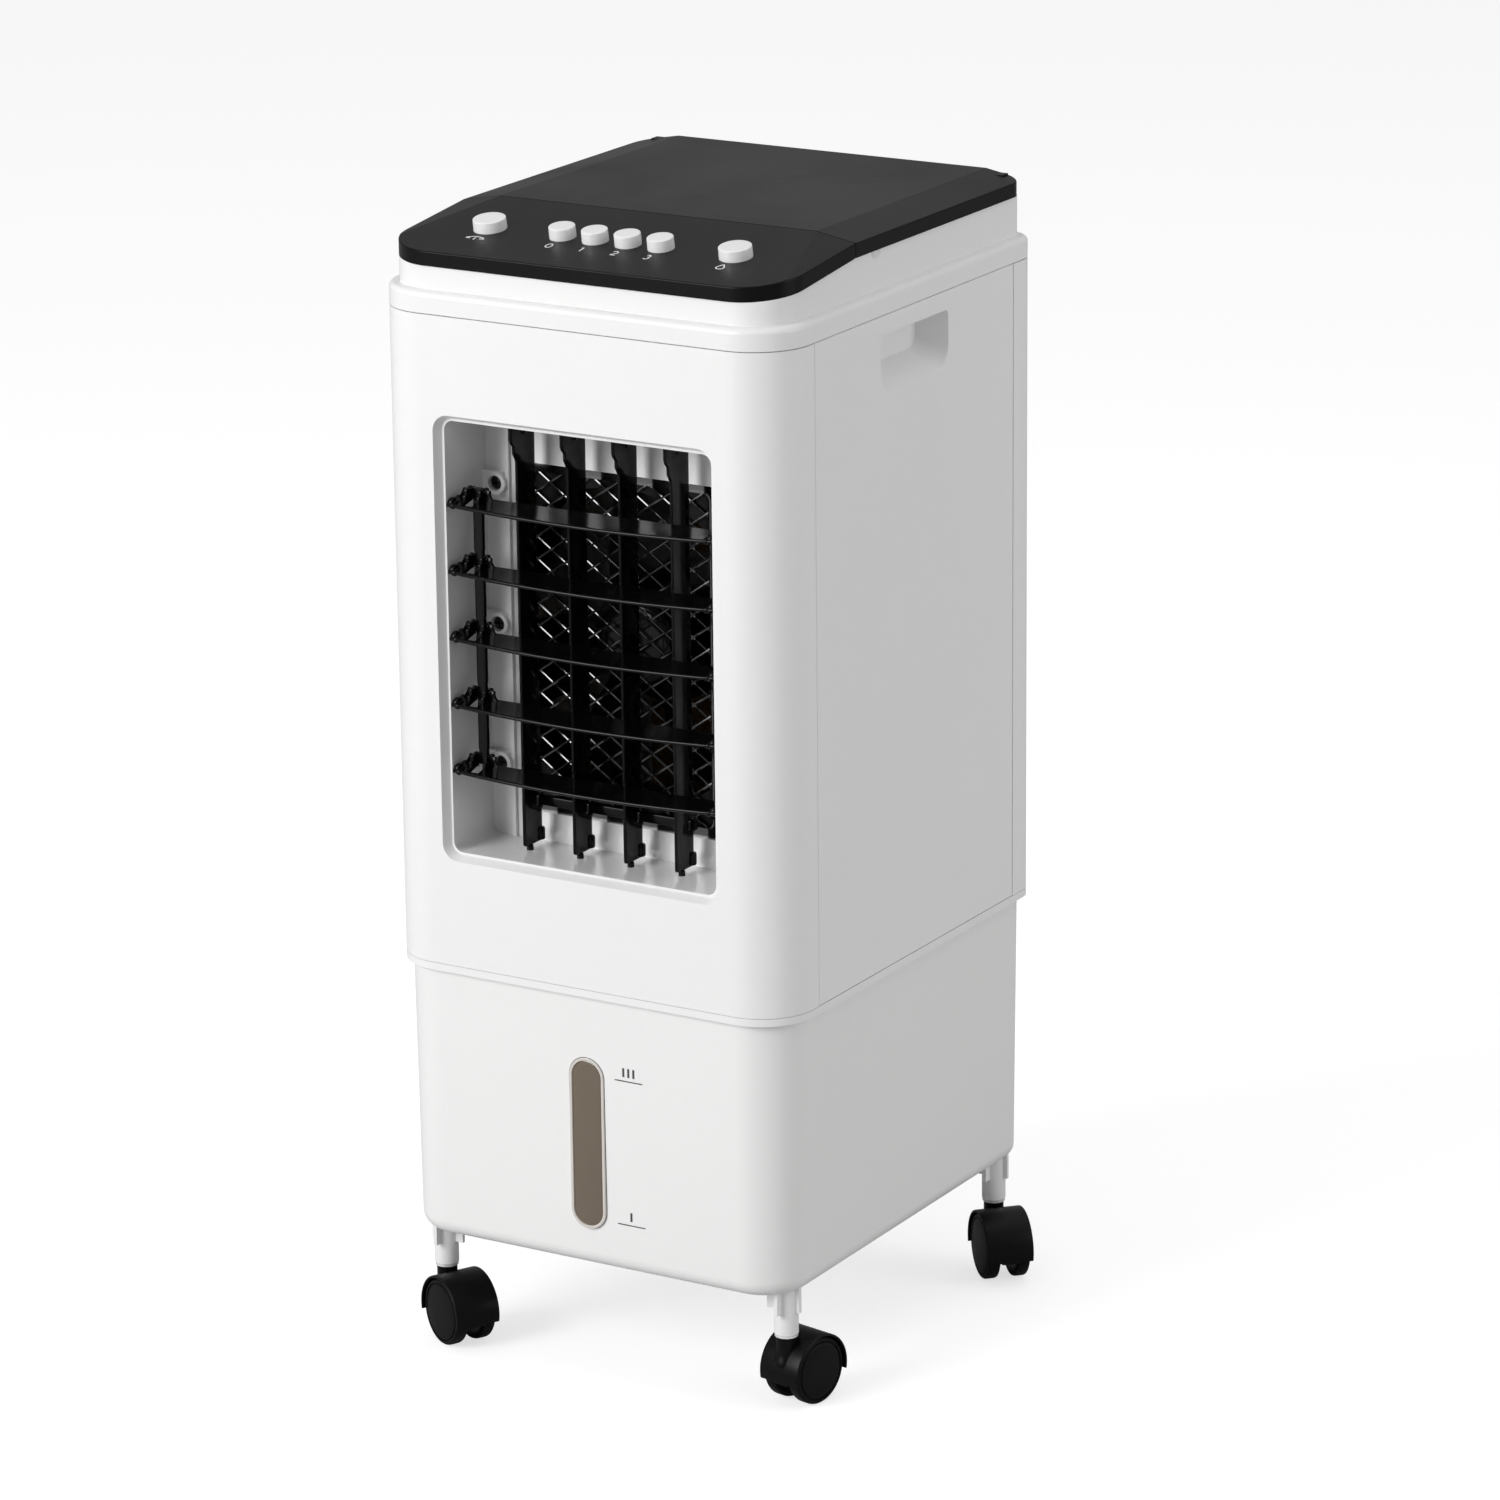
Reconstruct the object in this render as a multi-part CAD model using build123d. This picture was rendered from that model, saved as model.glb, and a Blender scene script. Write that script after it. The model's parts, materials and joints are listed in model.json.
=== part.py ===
from build123d import *
import os
from math import atan, cos, degrees, hypot, radians, sin, tan

# Evaporative cooler on four casters. Millimetres, +X right, +Y to the rear, +Z up.
# The origin is on the floor, under the middle of the casing.

# Casing
casing_width = 240.0
casing_depth = 266.0
front_radius = 30.0         # plan corners at the front
rear_radius = 13.0          # plan corners at the rear
casing_bottom = 213.0
casing_top = 571.5          # the ledge around the collar
wall = 2.6
seam = 0.5                  # visible gap between neighbouring covers
base_band = 4.0             # strip of the base frame that shows below the covers
top_band = 11.5             # strip of the top frame that shows above the covers
front_wrap = 35.0           # how far the front cover reaches back along each side
rear_wrap = 25.0            # the same for the rear frame
lip_height = 8.0            # locating lips inside the covers
lip_wall = 2.0
fit_gap = 0.2               # between a lip and the cover around it

# Water tank
tank_inset = 3.6            # at its top edge, inside the casing's skirt
tank_bottom = 64.0
tank_draft = 0.55           # degrees
tank_wall = 2.5
tank_front_radius = 27.0
tank_rear_radius = 13.0
tank_round = 8.5            # lower edge
window_width = 21.0
window_height = 93.5
window_middle = 132.2
window_rim = 1.7
window_proud = 0.6

# Casters
caster_side_inset = 16.2    # stems inside the casing's faces
caster_front_inset = 27.0
caster_rear_inset = 15.5
caster_trail = 13.1
wheel_radius = 18.0
wheel_width = 7.6
wheel_gap = 9.6             # between the twin wheels
hood_over = 1.8             # the hood's outside beyond the wheel
hood_width = 26.0
hood_clear = 0.5            # wheel to hood
hood_drop = 4.0             # the hood's edge below the axle
web_drop = 5.2              # the web's underside below the axle
axle_radius = 2.5
stem_radius = 3.0
neck_radius = 5.4
neck_over = 0.8             # neck above the hood
socket_radius = 6.4
stem_flange = 2.0           # between the neck and the socket
socket_depth = 20.0
running_gap = 0.05          # radial, for every shaft in its hole
body_gap = 0.3              # between parts that move past each other
caster_yaw = {"fl": -27.7, "fr": 78.8, "rl": -135.1, "rr": -44.9}

# Air outlet
outlet_width = 164.0
outlet_height = 235.0
outlet_middle = 391.5
outlet_radius = 9.0
bevel_in = 2.5
bevel_depth = 5.0
duct_step = 1.2             # the duct's front rim shows this far inside the bevel
duct_wall = 2.0
duct_depth = 38.0
guard_width = 114.0         # opening in the duct's back wall
guard_height = 185.0
guard_plate = 2.5
guard_border = 5.0
mesh_pitch_x = 16.7
mesh_pitch_z = 11.8
mesh_wire = 1.3
duct_screw_x = 70.5
duct_screw_pitch = 74.3
duct_rib_x = 64.5

# Louvres and vanes
louvre_count = 5
louvre_pitch = 35.1
louvre_behind = 3.3         # pivots behind the duct's front rim
louvre_thick = 1.6
louvre_rear = 8.0           # plate behind the pivot line
louvre_front = 2.6          # plate ahead of it, at the ends
louvre_bow = 4.6            # and this much more in the middle
louvre_tilt = 14.0          # front edge down, in degrees
louvre_end_gap = 0.5
louvre_link_x = 66.0
louvre_link_width = 5.6
ear_thick = 2.0
ear_back = 8.2              # link pins behind the pivots
ear_up = 4.6                # and above them
link_thick = 3.0
pin_radius = 1.25
open_hole = 1.7             # radius of the link holes that are left open
vane_count = 4
vane_pitch = 30.3
vane_thick = 1.8
vane_front = 6.0            # plate ahead of the pivot line
vane_back = 11.0
vane_pivot_behind = 21.0    # behind the duct's front rim
vane_tab = 6.0              # wider head at the top
vane_foot = 2.8             # above the duct's floor
vane_link_above = 24.3      # link above the duct's floor
vane_link_back = 10.5
vane_link_depth = 4.6
vane_link_height = 5.4
pivot_radius = 1.8

# Fan
fan_radius = 80.0
fan_tip_gap = 4.0
fan_hub_radius = 24.0
fan_blades = 7
blade_chord = 44.0
blade_pitch_angle = 32.0
blade_thick = 2.2
shroud_plate = 2.5
shroud_length = 40.0
shroud_wall = 2.5
shaft_radius = 3.0
motor_radius = 33.0
motor_length = 38.0
bracket_thick = 4.0

# Cooling pad, filter and rear grille
pad_width = 190.0
pad_height = 282.0
pad_thick = 26.0
pad_low = 232.0
rear_open_width = 178.0
rear_open_height = 290.0
rear_open_middle = 386.0
grille_gap = 0.4
grille_plate = 2.4
grille_rim = 12.0
slot_height = 4.6
slot_pitch = 9.2
slot_columns = 3
filter_thick = 1.2
gland_inset = 22.0
gland_z = 233.0
rear_screw_inset = 20.0
rear_screw_low = 258.0
rear_screw_high = 545.0

# Pump and hose
pump_x = 60.0
pump_ahead = 25.0           # in front of the pad
pump_width = 42.0
pump_depth = 36.0
pump_height = 38.0
hose_radius = 3.5
hose_wall = 1.2

# Top
collar_inset = 5.5
collar_wall = 2.4
cap_inset = 4.5
cap_front_radius = 28.0
cap_rear_radius = 12.0
cap_wall = 2.5
cap_top = 604.0
cap_front_top = 591.0
cap_fall = 4.0              # from the flat top down to the sides
cap_skirt = 7.5             # height of the black edge at the side
cap_split = 84.4            # control panel's length, from the casing's front
crease_inset = 27.0         # where the lid's flat top ends
crease_end = 15.0           # from the casing's front, where the panel's crease fades out
cap_round = 0.8
split_gap = 0.6
hinge_pin_radius = 1.2
hinge_lug_radius = 2.5
hinge_inset = 22.0
hinge_lug = 4.5
hinge_gap = 0.4
hinge_boss = 5.6
bin_floor = 553.0           # compartment under the lid
notch_radius = 7.0
notch_behind = 106.0

# Buttons
button_behind = 42.0
small_button_radius = 6.9
small_button_height = 6.0
large_button_radius = 8.6
large_button_height = 5.7
small_button_x = 9.65
small_button_step = 19.15
large_button_x = 71.8
button_travel = 3.0
button_gap = 0.35
button_flange = 1.4
switch_post_x = 50.0
switch_drop = 9.0

# Hand holds
hold_width = 70.0
hold_height = 31.0
hold_middle_y = 3.0
hold_middle_z = 534.5
hold_depth = 17.0
hold_wall = 2.0

# Worked out from the sizes above
front_y = -casing_depth / 2
rear_y = casing_depth / 2
side_x = casing_width / 2
lower_seam = casing_bottom + base_band
upper_seam = casing_top - top_band
duct_front_y = front_y + bevel_depth
duct_back_y = duct_front_y + duct_depth
duct_half = outlet_width / 2 - bevel_in - duct_step
duct_half_height = outlet_height / 2 - bevel_in - duct_step
duct_floor = outlet_middle - duct_half_height
duct_ceiling = outlet_middle + duct_half_height
guard_middle = outlet_middle - 6.0
guard_y = duct_back_y + duct_wall
shroud_y = guard_y + guard_plate
split_y = front_y + cap_split
hood_radius = wheel_radius + hood_over
neck_top = wheel_radius + hood_radius + neck_over
socket_bottom = neck_top + stem_flange
caster_x = side_x - caster_side_inset
caster_front_y = front_y + caster_front_inset
caster_rear_y = rear_y - caster_rear_inset
crease_x = side_x - crease_inset
hinge_x = side_x - hinge_inset
gland_x = side_x - gland_inset
rear_screw_x = side_x - rear_screw_inset
pump_y = rear_y - grille_rim - pad_thick - pump_ahead
cap_edge_top = cap_top - cap_fall
panel_slope = (cap_top - cap_front_top) / (cap_split - cap_inset)
panel_angle = degrees(atan(panel_slope))
far = 1000.0


def outline(inset, front_r=front_radius, rear_r=rear_radius):
    """The casing's plan shape, moved in by inset on every side."""
    face = Rectangle(casing_width - 2 * inset, casing_depth - 2 * inset)
    face = fillet(face.vertices().group_by(Axis.Y)[0], front_r - inset)
    return fillet(face.vertices().filter_by(lambda v: v.Y > 0).group_by(Axis.Y)[-1], rear_r - inset)


def block(inset, low, high, front_r=front_radius, rear_r=rear_radius):
    """The plan shape as a solid between two heights."""
    return Pos(0, 0, low) * extrude(outline(inset, front_r, rear_r), high - low)


def ring(outer, thick, low, high):
    """A closed wall that follows the plan shape."""
    return block(outer, low, high) - block(outer + thick, low - 1, high + 1)


def cuboid(x, y, z):
    """A box from its limits along each axis."""
    size = (x[1] - x[0], y[1] - y[0], z[1] - z[0])
    return Pos((x[0] + x[1]) / 2, (y[0] + y[1]) / 2, (z[0] + z[1]) / 2) * Box(*size)


def rod_x(radius, x0, x1, y, z):
    """A cylinder along X."""
    return Pos((x0 + x1) / 2, y, z) * Rot(0, 90, 0) * Cylinder(radius, x1 - x0)


def rod_y(radius, y0, y1, x, z):
    """A cylinder along Y."""
    return Pos(x, (y0 + y1) / 2, z) * Rot(90, 0, 0) * Cylinder(radius, y1 - y0)


def rod_z(radius, z0, z1, x, y):
    """A cylinder along Z."""
    return Pos(x, y, (z0 + z1) / 2) * Cylinder(radius, z1 - z0)


def upright(width, height, radius, y, z):
    """A rounded rectangle that stands in the plane y, facing the front."""
    plane = Plane(origin=(0, y, z), x_dir=(1, 0, 0), z_dir=(0, -1, 0))
    return plane * RectangleRounded(width, height, radius)


def slab(width, height, radius, y0, y1, z):
    """The same shape as a solid from y0 back to y1."""
    return extrude(upright(width, height, radius, y1, z), y1 - y0)


def mirrored(solid):
    """The other side's copy of a right-hand piece."""
    return mirror(solid, about=Plane.YZ)


def front_cover():
    shell = ring(0, wall, lower_seam + seam / 2, upper_seam - seam / 2)
    shell = shell & cuboid((-far, far), (-far, front_y + front_wrap - seam / 2), (0, far))
    rim = slab(outlet_width + 2 * wall, outlet_height + 2 * wall, outlet_radius + wall,
               front_y, duct_front_y, outlet_middle)
    bevel = loft([upright(outlet_width, outlet_height, outlet_radius, front_y, outlet_middle).face(),
                  upright(outlet_width - 2 * bevel_in, outlet_height - 2 * bevel_in,
                          outlet_radius - bevel_in, duct_front_y, outlet_middle).face()])
    return shell + rim - bevel


def air_duct():
    width, height = 2 * duct_half, 2 * duct_half_height
    radius = outlet_radius - bevel_in - duct_step
    body = slab(width + 2 * duct_wall, height + 2 * duct_wall, radius + duct_wall,
                duct_front_y, guard_y, outlet_middle)
    body -= slab(width, height, radius, duct_front_y - 1, duct_back_y, outlet_middle)
    for side in (-1, 1):
        body += cuboid(sorted((side * (duct_rib_x - 1), side * (duct_rib_x + 1))),
                       (duct_back_y - 2, duct_back_y), (duct_floor, duct_ceiling))
        for step in (-1, 0, 1):
            z = outlet_middle + step * duct_screw_pitch
            body += cuboid(sorted((side * duct_screw_x, side * duct_half)),
                           (duct_back_y - 3.5, duct_back_y), (z - 6, z + 6))
            body += rod_y(6, duct_back_y - 4.5, duct_back_y, side * duct_screw_x, z)
            body -= rod_y(4, duct_back_y - 5, duct_back_y - 1, side * duct_screw_x, z)
            body -= rod_y(1.6, duct_back_y - 2, guard_y + 1, side * duct_screw_x, z)
    body -= cuboid((-guard_width / 2, guard_width / 2), (duct_back_y - 1, guard_y + 1),
                   (guard_middle - guard_height / 2, guard_middle + guard_height / 2))
    for z in louvre_heights():
        body -= rod_x(pivot_radius + running_gap, -duct_half - duct_wall - 1, duct_half + duct_wall + 1,
                      louvre_y(), z)
    for x in vane_places():
        body -= rod_z(pivot_radius + running_gap, duct_floor - duct_wall - 1,
                      duct_ceiling + duct_wall + 1, x, vane_y())
    return body


def duct_screws():
    screws = []
    for side in (-1, 1):
        for step in (-1, 0, 1):
            x, z = side * duct_screw_x, outlet_middle + step * duct_screw_pitch
            head = rod_y(3.6, duct_back_y - 3.2, duct_back_y - 1, x, z)
            head -= Pos(x, duct_back_y - 3, z) * Box(4.4, 1.2, 0.9)
            head -= Pos(x, duct_back_y - 3, z) * Box(0.9, 1.2, 4.4)
            screws.append(head + rod_y(1.6, duct_back_y - 1, shroud_y, x, z))
    return Compound(screws)


def louvre_y():
    return duct_front_y + louvre_behind


def louvre_heights():
    first = outlet_middle + louvre_pitch * (louvre_count - 1) / 2
    return [first - louvre_pitch * i for i in range(louvre_count)]


def vane_y():
    return duct_front_y + vane_pivot_behind


def vane_places():
    first = -vane_pitch * (vane_count - 1) / 2
    return [first + vane_pitch * i for i in range(vane_count)]


def louvre(z, hole):
    """One blade: a bowed plate on two end pins, with a pair of ears that hold the link's pin."""
    half = duct_half - louvre_end_gap
    bowed = ThreePointArc((half, -louvre_front), (0, -louvre_front - louvre_bow), (-half, -louvre_front))
    back = Polyline((-half, -louvre_front), (-half, louvre_rear), (half, louvre_rear), (half, -louvre_front))
    plate = extrude(make_face(bowed + back), louvre_thick / 2, both=True)
    bead = sweep(Plane(origin=(half, -louvre_front, 0), z_dir=bowed % 0) * Circle(louvre_thick * 0.62), bowed)
    blade = plate + bead
    for side in (-1, 1):
        blade += rod_x(3, *sorted((side * (half - 2.2), side * half)), 0, 0)
        blade += rod_x(pivot_radius, *sorted((side * half, side * (duct_half + duct_wall))), 0, 0)
    blade = Rot(louvre_tilt, 0, 0) * blade
    slot = louvre_link_width / 2 + body_gap
    blade -= cuboid((-louvre_link_x - slot, -louvre_link_x + slot), (2.2, far), (-far, far))
    # The ear's outline across the blade, with the pin's hole through it.
    slope = tan(radians(louvre_tilt))
    ear = Polyline((-1, -slope), (3.5, ear_up + 0.6), (ear_back - 2, ear_up + 2.8),
                   (ear_back + 2.2, ear_up + 2.8), (ear_back + 2.8, ear_up - 1.5),
                   (louvre_rear - 0.5, slope * louvre_rear), (-1, -slope))
    foot_back = louvre_rear - 0.8
    foot = Polyline((0, 0), (4, 2.6), (foot_back, 3.4), (foot_back, slope * louvre_rear - 0.4), (0, 0))
    for side in (-1, 1):
        x = -louvre_link_x + side * (slot + ear_thick / 2)
        plane = Plane(origin=(x, 0, 0), x_dir=(0, 1, 0), z_dir=(1, 0, 0))
        blade += extrude(plane * make_face(ear), ear_thick / 2, both=True)
        blade += extrude(plane * make_face(foot), 6.5, dir=(side, 0, 0))
    blade -= rod_x(hole, -louvre_link_x - 20, -louvre_link_x + 20, ear_back, ear_up)
    return Pos(0, louvre_y(), z) * blade


def louvre_link():
    """A flat bar with a cross pin in every louvre's ears; only the top pin fits closely."""
    y = louvre_y() + ear_back
    heights = [z + ear_up for z in louvre_heights()]
    half = louvre_link_width / 2
    bar = cuboid((-louvre_link_x - half, -louvre_link_x + half), (y - link_thick / 2, y + link_thick / 2),
                 (heights[-1] - 2.5, heights[0] + 2.5))
    reach = half + body_gap + ear_thick
    for z in heights:
        bar += rod_x(pin_radius, -louvre_link_x - reach, -louvre_link_x + reach, y, z)
    return bar


def vane(x):
    """One upright blade on a pin at the floor and one at the ceiling."""
    low, high = duct_floor + vane_foot, duct_ceiling - vane_foot
    head = high - 16
    shape = Polyline((-vane_front + 1.5, low), (vane_back, low), (vane_back, high),
                     (-vane_front - vane_tab, high), (-vane_front - vane_tab + 1, head + 7),
                     (-vane_front, head), (-vane_front, low + 1.5), (-vane_front + 1.5, low))
    plane = Plane(origin=(0, 0, 0), x_dir=(0, 1, 0), z_dir=(1, 0, 0))
    blade = extrude(plane * make_face(shape), vane_thick / 2, both=True)
    link_low = duct_floor + vane_link_above - vane_link_height / 2
    notch = (vane_link_back - 4.2, vane_link_back + 5)
    blade -= cuboid((-5, 5), notch, (link_low - body_gap, link_low + vane_link_height + body_gap))
    blade += rod_z(pin_radius, link_low - 2, link_low + vane_link_height + 2, 0, vane_link_back)
    blade += rod_z(2.6, low, low + 7, 0, vane_back - 1.2)
    link_high = link_low + vane_link_height
    blade += rod_z(2.4, link_high + body_gap, link_high + 5, 0, vane_back - 1.2)
    blade += rod_z(2.4, low - 1, low + 5, 0, 0) + rod_z(2.4, high - 5, high + 1, 0, 0)
    blade += rod_z(pivot_radius, duct_floor - duct_wall, low, 0, 0)
    blade += rod_z(pivot_radius, high, duct_ceiling + duct_wall, 0, 0)
    return Pos(x, vane_y(), 0) * blade


def vane_link():
    """A bar behind the vanes; only its left hole is a close fit."""
    y = vane_y() + vane_link_back
    z = duct_floor + vane_link_above
    places = vane_places()
    half = vane_link_depth / 2
    low, high = z - vane_link_height / 2, z + vane_link_height / 2
    bar = cuboid((places[0], places[-1]), (y - half, y + half), (low, high))
    for x in (places[0], places[-1]):
        bar += rod_z(half, low, high, x, y)
    for i, x in enumerate(places):
        hole = pin_radius + running_gap if i == 0 else open_hole
        bar -= rod_z(hole, low - 1, high + 1, x, y)
    return bar


def finger_guard():
    """A plate with diamond openings between crossing wires."""
    half, height = duct_screw_x + 6, guard_height + 8
    plate = cuboid((-half, half), (guard_y, shroud_y), (guard_middle - height / 2, guard_middle + height / 2))
    for side in (-1, 1):
        for step in (-1, 0, 1):
            z = outlet_middle + step * duct_screw_pitch
            plate -= rod_y(1.6, guard_y - 1, shroud_y + 1, side * duct_screw_x, z)
    net_width, net_height = guard_width - 2 * guard_border, guard_height - 2 * guard_border
    slant = hypot(mesh_pitch_x, mesh_pitch_z)
    half_x = mesh_pitch_x / 2 - mesh_wire / 2 * slant / mesh_pitch_z
    half_z = mesh_pitch_z / 2 - mesh_wire / 2 * slant / mesh_pitch_x
    columns = int(net_width / mesh_pitch_x) + 2
    rows = int(net_height / mesh_pitch_z) + 2
    diamonds = []
    for i in range(-columns, columns + 1):
        for j in range(-rows, rows + 1):
            x, z = i * mesh_pitch_x / 2, j * mesh_pitch_z / 2
            shown = abs(x) < net_width / 2 + half_x - 1 and abs(z) < net_height / 2 + half_z - 1
            if (i + j) % 2 == 0 and shown:
                diamonds.append(Pos(x, z) * Polygon((half_x, 0), (0, half_z), (-half_x, 0), (0, -half_z)))
    net = Sketch() + diamonds
    net = net & Rectangle(net_width, net_height)
    plane = Plane(origin=(0, shroud_y + 1, guard_middle), x_dir=(1, 0, 0), z_dir=(0, -1, 0))
    return plate - extrude(plane * net, guard_plate + 2)


def fan_shroud():
    y = shroud_y
    side = side_x - wall
    plate = cuboid((-side, side), (y, y + shroud_plate), (lower_seam + 14, upper_seam - 14))
    tube = rod_y(fan_radius + fan_tip_gap + shroud_wall, y, y + shroud_length, 0, guard_middle)
    bore = rod_y(fan_radius + fan_tip_gap, y - 1, y + shroud_length + 1, 0, guard_middle)
    return plate + tube - bore


def fan_impeller():
    middle = shroud_y + 21
    hub = rod_y(fan_hub_radius, middle - 12, middle + 10, 0, guard_middle)
    hub = fillet(hub.edges().group_by(Axis.Y)[0], 5)
    blade = Pos(0, 0, (fan_hub_radius + fan_radius) / 2 - 2)
    blade_length = fan_radius - fan_hub_radius + 8
    blade = blade * Rot(0, 0, blade_pitch_angle) * Box(blade_chord, blade_thick, blade_length)
    for i in range(fan_blades):
        hub += Pos(0, middle, guard_middle) * Rot(0, 360 * i / fan_blades, 0) * blade
    hub = hub & rod_y(fan_radius, middle - 30, middle + 30, 0, guard_middle)
    return hub - rod_y(shaft_radius + running_gap, middle - 6, middle + 30, 0, guard_middle)


def fan_bracket():
    y = shroud_y + shroud_length
    outer = fan_radius + fan_tip_gap + shroud_wall
    plate = rod_y(motor_radius + 5, y, y + bracket_thick, 0, guard_middle)
    for i in range(3):
        arm = cuboid((-6, 6), (y, y + bracket_thick), (guard_middle, guard_middle + outer))
        plate += turned(arm, 120 * i)
    return plate - rod_y(shaft_radius + 2, y - 1, y + bracket_thick + 1, 0, guard_middle)


def turned(solid, angle):
    """The solid turned about the fan's axis."""
    return Pos(0, 0, guard_middle) * Rot(0, angle, 0) * Pos(0, 0, -guard_middle) * solid


def fan_motor():
    y = shroud_y + shroud_length + bracket_thick
    body = rod_y(motor_radius, y, y + motor_length, 0, guard_middle)
    body = fillet(body.edges().group_by(Axis.Y)[-1], 6)
    return body + rod_y(shaft_radius, shroud_y + 17, y, 0, guard_middle)


def swing_motor():
    low, high = lower_seam, duct_floor - duct_wall - 10
    body = rod_z(17, high - 20, high, 0, vane_y())
    body += cuboid((-12, 12), (vane_y() - 8, vane_y() + 8), (low, high - 20))
    return body + rod_z(2.5, high, high + 6, 0, vane_y())


def swing_crank():
    high = duct_floor - duct_wall - 10
    disc = rod_z(10, high + 1, high + 5, 0, vane_y()) + rod_z(1.5, high + 5, high + 8.5, 0, vane_y() - 5.3)
    return disc - rod_z(2.5 + running_gap, high, high + 7, 0, vane_y())


def hold_shape(width, height, top_r, low_r, x, z_shift):
    """A hand hold's outline at a depth: small radii above, large ones below."""
    face = Rectangle(width, height)
    face = fillet(face.vertices().group_by(Axis.Y)[-1], top_r)
    face = fillet(face.vertices().filter_by(lambda v: v.Y < 0).group_by(Axis.Y)[0], low_r)
    plane = Plane(origin=(x, hold_middle_y, hold_middle_z + z_shift), x_dir=(0, 1, 0), z_dir=(1, 0, 0))
    return plane * face


def hold_solid(grow, reach):
    """The hand hold's hollow, grown by the wall thickness for its outside."""
    deep = side_x - hold_depth - grow
    outer = hold_shape(hold_width + 2 * grow, hold_height + 2 * grow, 3 + grow, 14 + grow, reach, 0)
    inner = hold_shape(hold_width - 8 + 2 * grow, hold_height - 12 + 2 * grow, 3 + grow, 8 + grow, deep, 5)
    return loft([inner.face(), outer.face()])


def side_panel():
    shell = ring(0, wall, lower_seam + seam / 2, upper_seam - seam / 2)
    front, rear = front_y + front_wrap + seam / 2, rear_y - rear_wrap - seam / 2
    panel = shell & cuboid((0, far), (front, rear), (0, far))
    edges = panel.faces().sort_by(Axis.X)[-1].edges()
    panel = chamfer(edges, 0.4)
    panel += hold_solid(hold_wall, side_x - wall)
    return panel - hold_solid(0, side_x + 0.01)


def rear_frame():
    shell = ring(0, wall, lower_seam + seam / 2, upper_seam - seam / 2)
    frame = shell & cuboid((-far, far), (rear_y - rear_wrap + seam / 2, far), (0, far))
    opening = slab(rear_open_width, rear_open_height, 8, rear_y - 40, rear_y + 1, rear_open_middle)
    sleeve = slab(rear_open_width + 4, rear_open_height + 4, 10, rear_y - grille_rim, rear_y, rear_open_middle)
    frame = frame + sleeve - opening
    # Two rails and two shelves hold the pad ahead of the opening.
    back = rear_y - grille_rim
    for side in (-1, 1):
        heights = (pad_low, pad_low + pad_height)
        rail = cuboid((pad_width / 2, pad_width / 2 + 3), (back - pad_thick, back + 2), heights)
        rail += cuboid((pad_width / 2, side_x - wall - 1), (back - 3, back), heights)
        rail += cuboid((side_x - wall - 3, side_x - wall), (back - 3, rear_y - rear_radius), heights)
        frame += rail if side > 0 else mirrored(rail)
    frame -= rod_y(3.5, rear_y - 40, rear_y + 1, -gland_x, gland_z)
    for x in (-rear_screw_x, rear_screw_x):
        for z in (rear_screw_low, rear_screw_high):
            frame -= rod_y(1.6, rear_y - wall - 1, rear_y + 1, x, z)
    return frame


def rear_screws():
    screws = []
    for x in (-rear_screw_x, rear_screw_x):
        for z in (rear_screw_low, rear_screw_high):
            head = rod_y(3.2, rear_y, rear_y + 1.6, x, z)
            head -= Pos(x, rear_y + 1.4, z) * Box(4, 1, 0.8)
            head -= Pos(x, rear_y + 1.4, z) * Box(0.8, 1, 4)
            screws.append(head + rod_y(1.6, rear_y - wall, rear_y, x, z))
    return Compound(screws)


def cord_gland():
    body = rod_y(6, rear_y, rear_y + 3, -gland_x, gland_z)
    body += rod_y(3.5, rear_y - wall - 6, rear_y, -gland_x, gland_z)
    return body - rod_y(2.2, rear_y - 20, rear_y + 4, -gland_x, gland_z)


def rear_grille():
    width, height = rear_open_width - 2 * grille_gap, rear_open_height - 2 * grille_gap
    body = slab(width, height, 8 - grille_gap, rear_y - grille_rim + 0.4, rear_y, rear_open_middle)
    body -= slab(width - 4, height - 4, 6 - grille_gap, rear_y - grille_rim, rear_y - grille_plate,
                 rear_open_middle)
    rows = int((height - 24) / slot_pitch)
    slot_width = (width - 24) / slot_columns - 5
    slots = []
    for i in range(rows):
        for j in range(slot_columns):
            x = (j - (slot_columns - 1) / 2) * (slot_width + 5)
            z = (i - (rows - 1) / 2) * slot_pitch
            slots.append(Pos(x, z) * SlotOverall(slot_width, slot_height))
    plane = Plane(origin=(0, rear_y + 1, rear_open_middle), x_dir=(1, 0, 0), z_dir=(0, -1, 0))
    return body - extrude(plane * (Sketch() + slots), 8)


def dust_filter():
    width, height = rear_open_width - 2 * grille_gap - 5, rear_open_height - 2 * grille_gap - 5
    front = rear_y - grille_plate - filter_thick
    return slab(width, height, 4, front, rear_y - grille_plate, rear_open_middle)


def cooling_pad():
    back = rear_y - grille_rim - 3
    half = pad_width / 2
    return cuboid((-half, half), (back - pad_thick + 3, back), (pad_low, pad_low + pad_height))


def water_tray():
    """A trough over the pad, with a row of drip holes."""
    low = pad_low + pad_height
    back = rear_y - grille_rim
    half = pad_width / 2 + 3
    tray = cuboid((-half, half), (back - pad_thick, back), (low, low + 12))
    tray -= cuboid((-half + 2, half - 2), (back - pad_thick + 2, back - 2), (low + 2, low + 13))
    for i in range(9):
        tray -= rod_z(1.6, low - 1, low + 3, (i - 4) * pad_width / 10, back - pad_thick / 2)
    return tray


def water_pump():
    floor = tank_bottom + tank_wall
    body = Pos(pump_x, pump_y, floor + pump_height / 2) * Box(pump_width, pump_depth, pump_height)
    body = fillet(body.edges().filter_by(Axis.Z), 5)
    spout = floor + pump_height
    body += rod_z(hose_radius + hose_wall, spout, spout + 12, pump_x, pump_y)
    return body - rod_z(hose_radius, spout + 6, spout + 13, pump_x, pump_y)


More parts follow.
